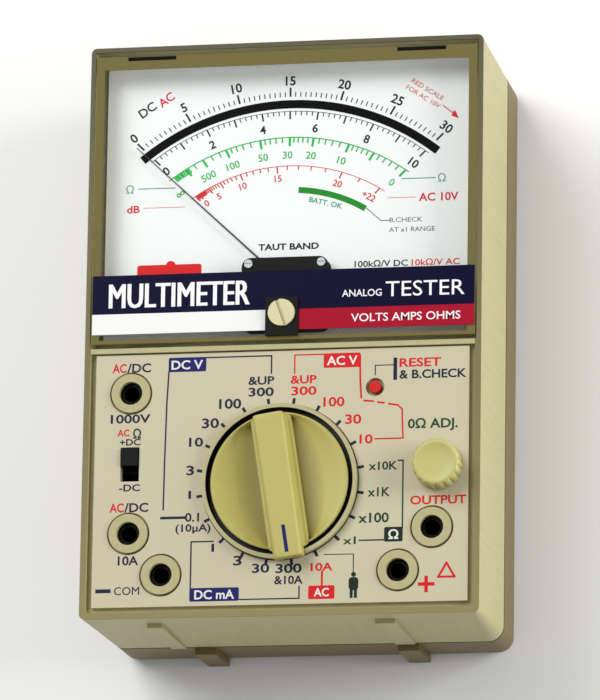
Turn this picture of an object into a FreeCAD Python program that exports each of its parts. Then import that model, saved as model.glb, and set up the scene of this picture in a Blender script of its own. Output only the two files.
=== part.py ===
"""Analog multimeter: a pointer meter over a rotary range switch, in a two-part moulded case.

The meter lies on its back. The origin is the middle of the rear face, +X is to the right of the
control panel, +Y is up the panel and +Z comes out of its front. Everything is in millimetres.
"""
import FreeCAD, Part
import Sketcher
import math
import os
import re

DOC = FreeCAD.newDocument("analog_multimeter")
SHEET = DOC.addObject("Spreadsheet::Sheet", "Dims")

SIZES = [
    # case
    ("case_width", 104, "outside width at the front rim"),
    ("case_height", 152, "outside height at the front rim"),
    ("case_depth", 58, "rear face to front rim"),
    ("seam_height", 20, "rear face to the joint of the two case halves"),
    ("front_wall", 2, "wall of the front case"),
    ("rear_wall", 2.5, "wall of the rear case"),
    ("side_draft", 0.3, "how much wider each side is at the seam than at the rim"),
    ("end_draft", 0.8, "how much longer each end is at the seam than at the rim"),
    ("rim_corner", 1.5, "corner radius at the front rim"),
    ("seam_corner", 4, "corner radius at the seam"),
    ("rear_round", 3.6, "rounding of the rear edges"),
    ("seam_gap", 1, "height of the shadow groove at the seam"),
    ("seam_inset", 0.9, "depth of the shadow groove"),
    ("lip_height", 3, "locating lip of the rear case above the seam"),
    ("lip_thickness", 1.2, "thickness of that lip"),
    ("lip_clearance", 0.2, "play between the lip and the front case"),
    ("rim_at_meter", 1.2, "rim thickness round the meter cover"),
    ("rim_at_panel", 1.6, "rim thickness round the control panel"),
    ("divider_y", -4.9, "upper face of the rib between meter and panel"),
    ("divider_thickness", 1.3, "thickness of that rib"),
    ("panel_recess", 2.1, "front rim to the control deck"),
    ("deck_thickness", 2, "thickness of the control deck"),
    ("shelf_thickness", 2, "thickness of that shelf"),
    ("shelf_hole", 12, "radius of the movement's hole in the shelf"),
    ("rail_start", 7, "front rim to the front end of the foot rails"),
    ("left_rail_x", -33.6, "middle of the left rail"),
    ("left_rail_width", 3.8, "width of the left rail"),
    ("right_rail_x", 26.6, "middle of the right rail"),
    ("right_rail_width", 5.2, "width of the right rail"),
    ("rail_proud", 0.9, "how far the front rails stand out of the bottom end"),
    ("rail_edge", 0.6, "front rails from the seam, and into the end wall"),
    ("overlap", 0.2, "how far a joined solid starts inside the one below"),
    ("rear_foot_edge", 0.6, "rear feet from the back and from the seam"),
    ("lip_corner_step", 1.2, "corner radius lost at each wall of the lip"),
    ("rear_boss_extra", 0.6, "rear boss radius beyond the front boss"),
    ("end_rib_rise", 1.6, "end ribs, in cell radii"),
    ("screw_seat_play", 0.3, "case screw head in its seat"),
    ("screw_play", 0.2, "case screw in the rear case"),
    ("cross_share", 1.2, "length of a case screw's cross, in head radii"),
    ("cross_width", 0.8, "slots of a case screw's cross"),
    ("cross_depth", 1, "depth of a case screw's cross"),
    ("rear_foot_proud", 1.8, "how far the rear feet stand out of the bottom end"),
    ("rear_foot_x", 27, "middle of each rear foot"),
    ("rear_foot_width", 5.6, "width of each rear foot"),
    # case screws
    ("screw_from_side", 8, "case screws to the sides of the case"),
    ("screw_from_end", 8, "case screws to the ends of the case"),
    ("screw_radius", 1.5, "case screw thread"),
    ("screw_head_radius", 3.1, "case screw head"),
    ("screw_head_height", 2.2, "case screw head"),
    ("screw_sink", 4, "rear face to the seat of the screw head"),
    ("screw_length", 28, "case screw under its head"),
    ("boss_radius", 4, "screw bosses"),
    # cover and name band
    ("cover_gap", 0.2, "play of the cover in the rim at the sides and the rib"),
    ("cover_low_gap", 1.1, "rib to the lower edge of the cover"),
    ("cap_clearance", 0.5, "movement cap to the inside of the cover"),
    ("top_gap", 1.2, "open gap above the cover"),
    ("cover_thickness", 2, "clear cover, front plate"),
    ("cover_skirt", 1.6, "clear cover, skirt"),
    ("hook_slot_inner", 29.3, "snap hook slot, inner end"),
    ("hook_slot_outer", 42.2, "snap hook slot, outer end"),
    ("hook_slot_width", 1.3, "snap hook slot, across"),
    ("hook_slot_depth", 3, "snap hook slot, depth"),
    ("band_top", 14.5, "name band, upper edge"),
    ("band_bottom", -1.2, "name band, lower edge"),
    ("band_inset", 0.4, "name band, inside the edge of the cover"),
    ("band_thickness", 0.3, "name band"),
    ("block_half_width", 4.3, "adjuster block"),
    ("block_above", 4.2, "adjuster block above the screw's axis"),
    ("block_below", 5.9, "adjuster block below the screw's axis"),
    ("block_thickness", 0.9, "adjuster block"),
    # dial
    ("dial_gap", 0.3, "play of the dial plate inside the skirt"),
    ("dial_thickness", 0.8, "dial plate"),
    ("arc_centre_y", -1.4, "centre of the printed arcs"),
    ("mirror_radius", 62.2, "middle of the mirror arc"),
    ("mirror_width", 2.2, "width of the mirror arc"),
    ("mirror_half_angle", 39, "half of the mirror arc's sweep"),
    ("mirror_thickness", 0.1, "mirror foil"),
    # movement, from the rear up
    ("pivot_y", 12.3, "pointer pivot above the middle of the case"),
    ("pointer_rest_angle", 47, "pointer at zero, to the left of straight up"),
    ("pointer_length", 55.5, "pivot to pointer tip"),
    ("pointer_height", 1, "dial face to the pointer"),
    ("pointer_thickness", 0.3, "pointer blade"),
    ("pointer_width", 0.55, "pointer blade at the hub"),
    ("pointer_tip_width", 0.22, "pointer blade at the tip"),
    ("pointer_hub_radius", 1.5, "pointer hub"),
    ("hub_height", 1, "pointer hub"),
    ("tail_length", 6, "pivot to the end of a balance arm"),
    ("tail_angle", 155, "balance arms to the pointer"),
    ("weight_radius", 0.8, "balance weights"),
    ("weight_height", 0.5, "balance weights"),
    ("frame_half_width", 22, "movement frame plate"),
    ("frame_half_height", 16, "movement frame plate"),
    ("frame_thickness", 2, "movement frame plate"),
    ("frame_screw_gap", 2.8, "rear bridge pillars to the movement screws"),
    ("frame_screw_radius", 1.2, "movement screws"),
    ("frame_head_share", 1.9, "movement screw heads, in screw radii"),
    ("frame_head_height", 1.4, "movement screw heads"),
    ("frame_grip", 0.7, "movement screws into the shelf, of its thickness"),
    ("frame_foot_extra", 3, "frame feet longer than the bridge legs"),
    ("key_overlap", 2, "brass keys before they are trimmed to the core and the ring"),
    ("yoke_wall", 4.2, "soft iron ring"),
    ("yoke_clearance", 0.33, "coil corners to the soft iron ring"),
    ("yoke_height", 12, "soft iron ring"),
    ("core_radius", 7.2, "core magnet"),
    ("core_height", 11, "core magnet"),
    ("key_width", 4, "brass keys that hold the core in the ring"),
    ("key_height", 7, "brass keys"),
    ("coil_clearance", 0.5, "core magnet to the coil's long sides"),
    ("coil_half_width", 1.8, "moving coil"),
    ("coil_side", 1.6, "moving coil, section of its long sides"),
    ("coil_end", 1.1, "moving coil, section of its ends"),
    ("coil_play", 0.6, "core magnet to the coil's ends"),
    ("staff_radius", 0.8, "coil hubs"),
    ("rear_staff_length", 1.1, "rear coil hub"),
    ("taut_band_width", 0.3, "suspension band"),
    ("taut_band_thickness", 0.08, "suspension band"),
    ("rear_band_length", 1, "free length of the rear band"),
    ("bridge_thickness", 0.6, "front bridge strap"),
    ("bridge_half_length", 9.3, "front bridge strap"),
    ("bridge_half_width", 1.5, "front bridge strap"),
    ("bridge_leg", 1.6, "front bridge legs"),
    ("bridge_gap", 0.4, "pointer hub to the front bridge"),
    ("collar_radius", 1, "collar on the front bridge"),
    ("collar_bore", 0.6, "hole through that collar"),
    ("collar_height", 0.5, "collar above the bridge"),
    ("pillar_gap", 0.4, "soft iron ring to the pillars"),
    ("rear_bridge_thickness", 1, "rear bridge strap"),
    ("rear_bridge_width", 4, "rear bridge strap"),
    ("rear_pillar", 2, "rear bridge pillars"),
    # zero adjuster
    ("lever_gap", 0.1, "front bridge to the zero lever"),
    ("lever_thickness", 0.5, "zero lever"),
    ("lever_hub", 2.4, "zero lever round the collar"),
    ("lever_play", 0.05, "zero lever on the collar"),
    ("fork_overrun", 1.2, "fork beyond the eccentric pin"),
    ("fork_half_width", 1.7, "zero lever fork"),
    ("fork_play", 0.1, "eccentric pin in the fork, each side"),
    ("tension_leaf", 0.12, "tension spring leaf"),
    ("adjuster_below_pivot", 9.1, "pivot to the zero adjust screw"),
    ("adjuster_radius", 3.5, "zero adjust screw head"),
    ("adjuster_thickness", 1.5, "zero adjust screw head"),
    ("adjuster_shank", 1.6, "zero adjust screw shank"),
    ("adjuster_flange", 2, "snap flange under the cover"),
    ("adjuster_play", 0.05, "shank in the cover"),
    ("adjuster_slot", 0.9, "screwdriver slot"),
    ("adjuster_slot_angle", 110, "screwdriver slot, from the X axis"),
    ("eccentricity", 1.2, "eccentric pin to the screw's axis"),
    ("eccentric_radius", 0.6, "eccentric pin"),
    # movement cap
    ("cap_half_width", 11.4, "movement cap"),
    ("cap_above_pivot", 6.5, "pivot to the movement cap's upper edge"),
    ("cap_below_pivot", 12.9, "pivot to the movement cap's lower edge"),
    ("cap_height", 4, "movement cap above the dial"),
    ("cap_roof", 0.5, "movement cap roof"),
    ("cap_wall", 0.8, "movement cap walls"),
    ("cap_corner", 2.4, "movement cap corners"),
    ("cap_slot_low", 0.5, "dial face to the pointer slot"),
    ("cap_screw_x", 9.6, "cap screws"),
    ("cap_screw_above_pivot", 4.9, "pivot to the cap screws"),
    ("cap_screw_radius", 0.6, "cap screws"),
    ("cap_screw_head", 1.1, "cap screw heads"),
    ("cap_screw_head_height", 0.4, "cap screw heads"),
    # control panel
    ("panel_gap", 1.45, "groove round the panel plate"),
    ("panel_top_gap", 0.4, "rib to the panel plate"),
    ("panel_thickness", 1.5, "panel plate"),
    # range switch
    ("knob_from_bottom", 35, "range switch axis to the bottom rim"),
    ("knob_rest_angle", 9, "range switch position, half a step of 18 degrees"),
    ("ring_wall", 1.1, "moulded ring round the knob"),
    ("ring_gap", 1.1, "knob disc to the moulded ring"),
    ("ring_height", 3.2, "moulded ring above the deck"),
    ("panel_hole_gap", 0.3, "panel plate to the moulded ring"),
    ("knob_radius", 18.1, "range knob disc"),
    ("knob_lift", 0.5, "deck to the underside of the knob"),
    ("knob_disc_height", 2.3, "range knob disc"),
    ("knob_edge", 0.5, "bevel round the knob disc"),
    ("bar_root", 0.6, "ends of the grip bar's root inside the disc"),
    ("root_depth", 1, "grip bar's root in the disc"),
    ("tail_slope", 3.5, "length of the slope at the tail"),
    ("nose_slope", 2.4, "length of the slope at the nose"),
    ("nose_face", 1, "slope down to the face of the nose"),
    ("bevel_foot", 1.2, "bar's side bevels above the disc"),
    ("knob_cover", 2, "knob above the end of the shaft"),
    ("bar_half_width", 3.7, "grip bar"),
    ("bar_top_half_width", 2.7, "grip bar on top"),
    ("bar_height", 3.8, "grip bar above the disc"),
    ("nose_overhang", 0.5, "nose of the grip bar beyond the moulded ring"),
    ("tail_inset", 0.9, "tail of the grip bar inside the disc"),
    ("nose_clearance", 0.4, "nose above the moulded ring"),
    ("shaft_radius", 3, "switch shaft"),
    ("shaft_clearance", 0.05, "switch shaft in its bearing"),
    ("bearing_wall", 2.5, "bearing boss of the shaft"),
    ("bearing_drop", 3.4, "bearing boss under the deck"),
    ("clip_width", 2, "retaining clip round the shaft"),
    ("clip_thickness", 0.8, "retaining clip"),
    ("clip_groove", 0.5, "depth of the clip's groove"),
    ("clip_mouth", 0.9, "mouth of the clip, in groove radii"),
    ("clip_gap", 0.3, "bearing to the clip"),
    ("rotor_margin", 3, "detent balls to the rotor's edge"),
    ("rotor_thickness", 5.4, "switch rotor"),
    ("rotor_gap", 0.4, "clip to the rotor"),
    ("ball_radius", 1.5, "detent balls"),
    ("ball_orbit", 13, "detent balls to the axis"),
    ("ball_gap", 0.05, "detent balls to the crests"),
    ("ball_seat", 0.66, "top of a detent spring below the ball's middle, in ball radii"),
    ("ball_pocket_play", 0.1, "ball in its pocket"),
    ("pocket_depth", 4, "ball and spring pocket"),
    ("notch_play", 0.2, "detent notch over the ball's radius"),
    ("notch_axis_drop", 0.7, "crests to the axis of a notch"),
    ("detent_positions", 20, "positions of the range switch"),
    ("detent_half_width", 2.2, "half of the detent ring's width"),
    ("detent_thickness", 2.5, "detent ring"),
    ("spring_wire", 0.35, "wire of the small springs"),
    ("wiper_length", 9, "wiper leaf"),
    ("wiper_width", 2.2, "wiper leaf"),
    ("wiper_thickness", 0.3, "wiper leaf"),
    ("wiper_gap", 0.05, "wiper tip above the contact tracks"),
    ("wiper_root", 4, "wiper leaves' fixed ends to the axis"),
    ("wiper_flat", 3, "flat part of a leaf against the rotor"),
    ("wiper_bend", 0.6, "leaf's bend beyond its flat part"),
    ("wiper_tip", 1, "flat tip of a leaf"),
    ("wiper_room", 2, "rotor to the circuit board"),
    # ohm adjuster
    ("ohm_from_side", 10.7, "ohm knob axis to the side rim"),
    ("ohm_above_switch", 3, "ohm knob axis above the range switch axis"),
    ("ohm_radius", 6.3, "ohm knob"),
    ("ohm_height", 5.5, "ohm knob"),
    ("ohm_lift", 0.4, "panel face to the ohm knob"),
    ("ohm_flutes", 18, "flutes of the ohm knob"),
    ("flute_radius", 0.7, "one flute"),
    ("ohm_skirt", 1.1, "wall of the ohm knob"),
    ("ohm_hollow", 2, "hollow under the ohm knob"),
    ("pot_shaft_radius", 2, "potentiometer shaft"),
    ("pot_bushing_wall", 1.2, "potentiometer bushing"),
    ("pot_radius", 7.4, "potentiometer body"),
    ("pot_height", 7, "potentiometer body"),
    ("pot_nut_wall", 1.4, "potentiometer nut, corners over the bushing"),
    ("pot_nut_room", 1, "potentiometer nut to the panel plate"),
    ("pot_nut_height", 1.6, "potentiometer nut"),
    # reset button
    ("reset_from_side", 27.5, "reset button to the side rim"),
    ("reset_below_divider", 11.9, "rib to the reset button"),
    ("reset_radius", 1.5, "reset button"),
    ("reset_proud", 0.5, "reset button above the panel"),
    ("reset_clearance", 0.15, "reset button in the deck"),
    ("flange_play", 0.05, "flange of the button under the deck"),
    ("slider_lift", 0.2, "slider's foot above the floor of the switch body"),
    ("slider_side_play", 0.3, "slider's foot to the sides of the switch body"),
    ("slider_top_play", 0.15, "slider's foot under the top of the switch body"),
    ("slider_lap", 1.2, "slider's foot beyond each end of its grip"),
    ("reset_ring", 2.4, "hole in the panel plate"),
    ("reset_flange", 2.6, "flange that holds the button in"),
    ("reset_travel", 1.5, "reset button travel"),
    ("reset_body", 6, "reset switch body"),
    ("reset_spring_length", 7.05, "reset spring"),
    ("reset_flange_height", 0.8, "flange that holds the button in"),
    # slide switch
    ("slide_above_switch", 5.5, "slide switch above the range switch axis"),
    ("slide_slot_width", 5, "window of the slide switch"),
    ("slide_slot_length", 9, "window of the slide switch"),
    ("slide_travel", 3.8, "travel of the slide switch"),
    ("slide_play", 0.3, "slider in its window"),
    ("slide_proud", 0.6, "slider above the panel"),
    ("slide_body_width", 8, "slide switch body"),
    ("slide_body_length", 15, "slide switch body"),
    ("slide_body_height", 6, "slide switch body"),
    ("slide_body_wall", 0.8, "slide switch body"),
    # jacks
    ("jack_from_side", 12.4, "side jacks to the side rim"),
    ("jack_below_divider", 11.9, "upper jack to the rib"),
    ("jack_side_from_bottom", 22.3, "lower side jacks to the bottom rim"),
    ("jack_inner_from_side", 21.1, "bottom jacks to the side rim"),
    ("jack_inner_from_bottom", 11.3, "bottom jacks to the bottom rim"),
    ("jack_collar_wall", 2.1, "moulded jack collar"),
    ("jack_collar_height", 2, "moulded jack collar above the deck"),
    ("jack_collar_gap", 0.5, "panel plate to the jack collar"),
    ("jack_head_step", 0.45, "jack socket head over its barrel"),
    ("jack_head_height", 1.4, "jack socket head"),
    ("jack_head_play", 0.05, "jack socket in its hole"),
    ("jack_ledge", 1, "ledge that the jack socket sits on"),
    ("jack_wall", 0.55, "wall of the jack socket"),
    ("jack_bore", 2, "bore for a 4 mm plug"),
    ("jack_bore_depth", 19, "bore for a 4 mm plug"),
    ("jack_floor", 1.5, "closed end of the jack socket"),
    ("jack_nut_wall", 1.95, "jack nut, flats over the barrel"),
    ("jack_nut_height", 2.4, "jack nut"),
    # circuit board and what it carries
    ("board_thickness", 1.6, "circuit board"),
    ("board_gap", 2.5, "circuit board to the side walls"),
    ("board_top_gap", 4, "rib to the circuit board"),
    ("board_hole_play", 0.3, "circuit board round what passes through it"),
    ("post_from_side", 21, "upper board posts to the side rim"),
    ("post_below_divider", 7.1, "upper board posts"),
    ("low_post_from_jack", 10.9, "lower board posts to the bottom jacks"),
    ("low_post_from_bottom", 8, "lower board posts"),
    ("post_radius", 2.8, "board posts"),
    ("board_screw_radius", 1.1, "board screws"),
    ("board_screw_head", 2.4, "board screws"),
    ("fuse_radius", 2.6, "glass fuse"),
    ("fuse_x", 18, "fuse to the middle of the board"),
    ("relay_x", 18, "relay to the middle of the board"),
    ("parts_above_knob", 14, "fuse and relay above the switch axis"),
    ("shunt_below_knob", 24, "shunt bar below the switch axis"),
    ("resistors_below_knob", 10, "resistors below the switch axis"),
    ("fuse_clip_inset", 2.5, "fuse clips from the fuse's ends"),
    ("fuse_clip_length", 4, "fuse clips"),
    ("fuse_mouth_share", 1.4, "mouth of a fuse clip, in fuse radii"),
    ("contact_width", 9, "battery contacts"),
    ("contact_inset", 1, "battery contacts inside the cell's outline"),
    ("fuse_length", 20, "glass fuse"),
    ("clip_wall", 0.5, "fuse clips"),
    ("resistor_radius", 1.2, "precision resistors"),
    ("resistor_length", 7, "precision resistors"),
    ("resistor_count", 8, "precision resistors"),
    ("resistor_pitch", 6.5, "precision resistors"),
    ("relay_length", 20, "protection relay"),
    ("relay_width", 10, "protection relay"),
    ("relay_height", 11, "protection relay"),
    ("shunt_radius", 0.8, "shunt bar wire"),
    ("shunt_span", 16, "shunt bar"),
    ("shunt_drop", 6, "shunt bar"),
    # batteries
    ("cell_radius", 7.1, "AA cell"),
    ("cell_length", 49.5, "AA cell, case only"),
    ("cell_button", 2.7, "AA cell positive button radius"),
    ("cell_button_height", 1, "AA cell positive button"),
    ("cell_pitch", 16, "AA cells apart"),
    ("cell_from_bottom", 18, "lower AA cell to the bottom rim"),
    ("contact_thickness", 0.4, "battery contacts"),
    ("block_cell_length", 48.5, "9 V battery"),
    ("block_cell_width", 26.5, "9 V battery"),
    ("block_cell_height", 17, "9 V battery"),
    ("block_cell_gap", 4, "AA cells to the 9 V battery"),
    ("rib_thickness", 1.2, "battery ribs"),
    ("rib_gap", 0.4, "battery to its ribs"),
]
SIZE_NAMES = {name for name, _, _ in SIZES}

# Sizes that follow from others. A size on the sheet is written once, and these only use it.
LINKED = {
    "shelf_depth": "cover_thickness + cap_clearance + cap_height + dial_thickness",
    "screw_x": "case_width / 2 - screw_from_side",
    "reset_x": "case_width / 2 - reset_from_side",
    "post_x": "case_width / 2 - post_from_side",
    "low_post_x": "case_width / 2 - jack_inner_from_side - low_post_from_jack",
    "adjuster_y": "pivot_y - adjuster_below_pivot",
    "block_top": "adjuster_y + block_above",
    "block_bottom": "adjuster_y - block_below",
    "cap_top": "pivot_y + cap_above_pivot",
    "cap_bottom": "pivot_y - cap_below_pivot",
    "cap_screw_y": "pivot_y + cap_screw_above_pivot",
    "lever_reach": "adjuster_below_pivot + eccentricity + fork_overrun",
    "coil_half_length": "core_radius + coil_clearance + coil_side",
    "yoke_inner": "sqrt(coil_half_length ^ 2 + coil_half_width ^ 2) + yoke_clearance",
    "yoke_outer": "yoke_inner + yoke_wall",
    "frame_hole": "yoke_inner + yoke_wall / 6",
    "rear_bridge_half": "yoke_outer + pillar_gap + rear_pillar",
    "frame_screw_x": "rear_bridge_half + frame_screw_gap",
    "ring_inner": "knob_radius + ring_gap",
    "ring_outer": "ring_inner + ring_wall",
    "bar_nose": "ring_outer + nose_overhang",
    "bar_tail": "knob_radius - tail_inset",
    "bearing_radius": "shaft_radius + bearing_wall",
    "clip_radius": "shaft_radius + clip_width",
    "rotor_radius": "ball_orbit + rotor_margin",
    "notch_radius": "ball_radius + notch_play",
    "detent_inner": "ball_orbit - detent_half_width",
    "detent_outer": "ball_orbit + detent_half_width",
    "board_drop": "bearing_drop + clip_gap + clip_thickness + rotor_gap + rotor_thickness + wiper_room",
    "pot_bushing_radius": "pot_shaft_radius + pot_bushing_wall",
    "pot_nut_radius": "pot_bushing_radius + pot_nut_wall",
    "jack_barrel": "jack_bore + jack_wall",
    "jack_head": "jack_barrel + jack_head_step",
    "jack_collar": "jack_head + jack_collar_wall",
    "jack_nut_flats": "(jack_barrel + jack_nut_wall) * 2",
}

# Places and levels that several pieces share, as expressions on the sheet.
HALF_WIDTH = "(case_width / 2)"
HALF_HEIGHT = "(case_height / 2)"
SEAM_HALF_WIDTH = "(case_width / 2 + side_draft)"
SEAM_HALF_HEIGHT = "(case_height / 2 + end_draft)"
CAVITY_X = "(case_width / 2 - front_wall)"
CAVITY_Y = "(case_height / 2 - front_wall)"
DECK_TOP = "(case_depth - panel_recess)"
DECK_UNDER = "(case_depth - panel_recess - deck_thickness)"
PANEL_FACE = "(case_depth - panel_recess + panel_thickness)"
SHELF_TOP = "(case_depth - shelf_depth)"
SHELF_UNDER = "(case_depth - shelf_depth - shelf_thickness)"
DIAL_FACE = "(case_depth - shelf_depth + dial_thickness)"
COVER_UNDER = "(case_depth - cover_thickness)"
COVER_X = "(case_width / 2 - rim_at_meter - cover_gap)"
COVER_TOP = "(case_height / 2 - rim_at_meter - top_gap)"
COVER_BOTTOM = "(divider_y + cover_low_gap)"
DIVIDER_UNDER = "(divider_y - divider_thickness)"
SCREW_Y = "(case_height / 2 - screw_from_end)"
KNOB_Y = "(knob_from_bottom - case_height / 2)"
OHM_X = "(case_width / 2 - ohm_from_side)"
OHM_Y = "(knob_from_bottom - case_height / 2 + ohm_above_switch)"
RESET_Y = "(divider_y - reset_below_divider)"
SLIDE_X = "(jack_from_side - case_width / 2)"
SLIDE_Y = "(knob_from_bottom - case_height / 2 + slide_above_switch)"
BOARD_TOP = "(case_depth - panel_recess - deck_thickness - board_drop)"
BOARD_UNDER = "(case_depth - panel_recess - deck_thickness - board_drop - board_thickness)"
FRAME_UNDER = "(case_depth - shelf_depth - shelf_thickness - frame_thickness)"
YOKE_UNDER = "(case_depth - shelf_depth - shelf_thickness - frame_thickness - yoke_height)"
CORE_UNDER = f"({YOKE_UNDER} + (yoke_height - core_height) / 2)"
CORE_TOP = f"({CORE_UNDER} + core_height)"
COIL_TOP = f"({CORE_TOP} + coil_play + coil_end)"
COIL_UNDER = f"({CORE_UNDER} - coil_play - coil_end)"
POINTER_UNDER = f"({DIAL_FACE} + pointer_height)"
HUB_UNDER = f"({DIAL_FACE} + pointer_height - pointer_thickness)"
HUB_TOP = f"({HUB_UNDER} + hub_height)"
BRIDGE_UNDER = f"({HUB_TOP} + bridge_gap)"
BRIDGE_TOP = f"({BRIDGE_UNDER} + bridge_thickness)"
LEVER_UNDER = f"({BRIDGE_TOP} + lever_gap)"
LEVER_TOP = f"({LEVER_UNDER} + lever_thickness)"
CAP_TOP = f"({DIAL_FACE} + cap_height)"
BEARING_UNDER = f"({DECK_UNDER} - bearing_drop)"
CLIP_TOP = f"({BEARING_UNDER} - clip_gap)"
ROTOR_TOP = f"({CLIP_TOP} - clip_thickness - rotor_gap)"
ROTOR_UNDER = f"({ROTOR_TOP} - rotor_thickness)"
CREST = f"({DECK_UNDER} - detent_thickness)"
BALL_Z = f"({CREST} - ball_gap - ball_radius)"
KNOB_UNDER = f"({DECK_TOP} + knob_lift)"
KNOB_TOP = f"({KNOB_UNDER} + knob_disc_height)"
JACK_SEAT = f"({DECK_UNDER} + jack_ledge)"
JACK_HEAD_TOP = f"({JACK_SEAT} + jack_head_height)"
CELL_FLOOR = "rear_wall"
CELL_Y = "(cell_from_bottom - case_height / 2)"
BLOCK_CELL_Y = f"({CELL_Y} + cell_pitch + cell_radius + block_cell_gap + block_cell_width / 2)"

# The five jacks, from the upper left round to the lower right.
JACK_SIDE_X = "(case_width / 2 - jack_from_side)"
JACK_INNER_X = "(case_width / 2 - jack_inner_from_side)"
JACK_UPPER_Y = "(divider_y - jack_below_divider)"
JACK_SIDE_Y = "(jack_side_from_bottom - case_height / 2)"
JACK_INNER_Y = "(jack_inner_from_bottom - case_height / 2)"
JACKS = [
    (f"-{JACK_SIDE_X}", JACK_UPPER_Y),
    (f"-{JACK_SIDE_X}", JACK_SIDE_Y),
    (f"-{JACK_INNER_X}", JACK_INNER_Y),
    (JACK_INNER_X, JACK_INNER_Y),
    (JACK_SIDE_X, JACK_SIDE_Y),
]
CASE_SCREWS = [(sx, sy) for sx in ("-screw_x", "screw_x") for sy in (f"-{SCREW_Y}", SCREW_Y)]
BOARD_POSTS = [
    ("-post_x", "(divider_y - post_below_divider)"),
    ("post_x", "(divider_y - post_below_divider)"),
    ("-low_post_x", "(low_post_from_bottom - case_height / 2)"),
    ("low_post_x", "(low_post_from_bottom - case_height / 2)"),
]
# Foot rails moulded on the bottom end of the front case: middle and width.
FRONT_RAILS = [("left_rail_x", "left_rail_width"), ("right_rail_x", "right_rail_width")]

NODES = []


# ---- small tools -------------------------------------------------------------------------------

def fill_sheet():
    """Write each size into its own row: value, alias and note."""
    for row, (name, size, note) in enumerate(SIZES, start=1):
        SHEET.set(f"A{row}", note)
        SHEET.set(f"B{row}", str(size))
        SHEET.setAlias(f"B{row}", name)
    DOC.recompute()


def on_sheet(expression):
    """The expression with linked sizes written out and the sheet's name before each size."""
    def expanded(match):
        word = match.group(0)
        if word in LINKED:
            return "(" + on_sheet(LINKED[word]) + ")"
        return "Dims." + word if word in SIZE_NAMES else word
    return re.sub(r"[a-z][a-z0-9_]*", expanded, str(expression))


def value(expression):
    """The expression's present number."""
    return float(SHEET.evalExpression(on_sheet(expression)))


def tie(piece, **sizes):
    """Bind properties of a piece to expressions."""
    for name, expression in sizes.items():
        piece.setExpression(name, on_sheet(expression))


def place(piece, at, turn=0, axis=(0, 0, 1)):
    """Turn a piece by an angle about an axis through its own origin, then move it to a place."""
    turned = FreeCAD.Rotation(FreeCAD.Vector(*axis), turn)
    piece.Placement = FreeCAD.Placement(FreeCAD.Vector(0, 0, 0), turned)
    for letter, expression in zip("xyz", at):
        piece.setExpression(f"Placement.Base.{letter}", on_sheet(expression))
    return piece


def node(piece, name):
    """Name a finished sub-part."""
    piece.Label = name
    NODES.append(piece)
    return piece


def block(x, y, z, length, width, height):
    """A box centred on x and y, standing on z."""
    box = DOC.addObject("Part::Box", "Block")
    tie(box, Length=length, Width=width, Height=height)
    return place(box, (f"{x} - ({length}) / 2", f"{y} - ({width}) / 2", z))


def span(x0, x1, y0, y1, z0, z1):
    """A box between two values on each axis."""
    box = DOC.addObject("Part::Box", "Span")
    tie(box, Length=f"({x1}) - ({x0})", Width=f"({y1}) - ({y0})", Height=f"({z1}) - ({z0})")
    return place(box, (x0, y0, z0))


def cylinder(x, y, z, radius, height, turn=0, axis=(0, 0, 1)):
    """A cylinder that stands on a point, along Z before it is turned."""
    rod = DOC.addObject("Part::Cylinder", "Cylinder")
    tie(rod, Radius=radius, Height=height)
    return place(rod, (x, y, z), turn, axis)


def lying_cylinder(x, y, z, radius, length):
    """A cylinder along X whose middle is at a point."""
    return cylinder(f"{x} - ({length}) / 2", y, z, radius, length, 90, (0, 1, 0))


def prism(x, y, z, flats, height, sides=6):
    """A nut's outside: a regular prism given by the distance across its flats."""
    shape = DOC.addObject("Part::Prism", "Prism")
    shape.Polygon = sides
    corner = 1 / math.cos(math.pi / sides)
    tie(shape, Circumradius=f"({flats}) / 2 * {corner:.6f}", Height=height)
    return place(shape, (x, y, z))


def joined(*pieces):
    """One solid from several that touch or overlap."""
    whole = DOC.addObject("Part::MultiFuse", "Joined")
    whole.Shapes = list(pieces)
    whole.Refine = True
    return whole


def without(base, *tools):
    """The base with every tool cut out of it."""
    cut = DOC.addObject("Part::Cut", "Without")
    cut.Base = base
    cut.Tool = tools[0] if len(tools) == 1 else together(*tools)
    return cut


def together(*pieces):
    """Several separate solids as one group."""
    group = DOC.addObject("Part::Compound", "Together")
    group.Links = list(pieces)
    return group


def new_body(name, at=("0", "0", "0"), turn=0):
    body = DOC.addObject("PartDesign::Body", name)
    place(body, at, turn)
    return body


def new_sketch(body, height="0", plane="XY_Plane"):
    """A sketch on one of the body's own origin planes, moved along that plane's normal."""
    sketch = body.newObject("Sketcher::SketchObject", "Sketch")
    support = [feature for feature in body.Origin.OriginFeatures if feature.Role == plane][0]
    sketch.AttachmentSupport = [(support, "")]
    sketch.MapMode = "FlatFace"
    sketch.setExpression("AttachmentOffset.Base.z", on_sheet(height))
    return sketch


def hold(sketch, kind, *where, size):
    """Add a dimension to a sketch and bind it to an expression."""
    index = sketch.addConstraint(Sketcher.Constraint(kind, *where, value(size)))
    sketch.setExpression(f"Constraints[{index}]", on_sheet(size))


def hold_point(sketch, edge, end, x, y):
    """Hold one point of a sketch by its two distances from the origin."""
    hold(sketch, "DistanceX", -1, 1, edge, end, size=x)
    hold(sketch, "DistanceY", -1, 1, edge, end, size=y)


def draw_polygon(sketch, corners):
    """A closed outline of straight lines through corners that are held one by one."""
    points = [FreeCAD.Vector(value(x), value(y), 0) for x, y in corners]
    first = sketch.GeometryCount
    for here, there in zip(points, points[1:] + points[:1]):
        sketch.addGeometry(Part.LineSegment(here, there))
    count = len(points)
    for step in range(count):
        after = first + (step + 1) % count
        sketch.addConstraint(Sketcher.Constraint("Coincident", first + step, 2, after, 1))
    for step, (x, y) in enumerate(corners):
        hold_point(sketch, first + step, 1, x, y)


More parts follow.
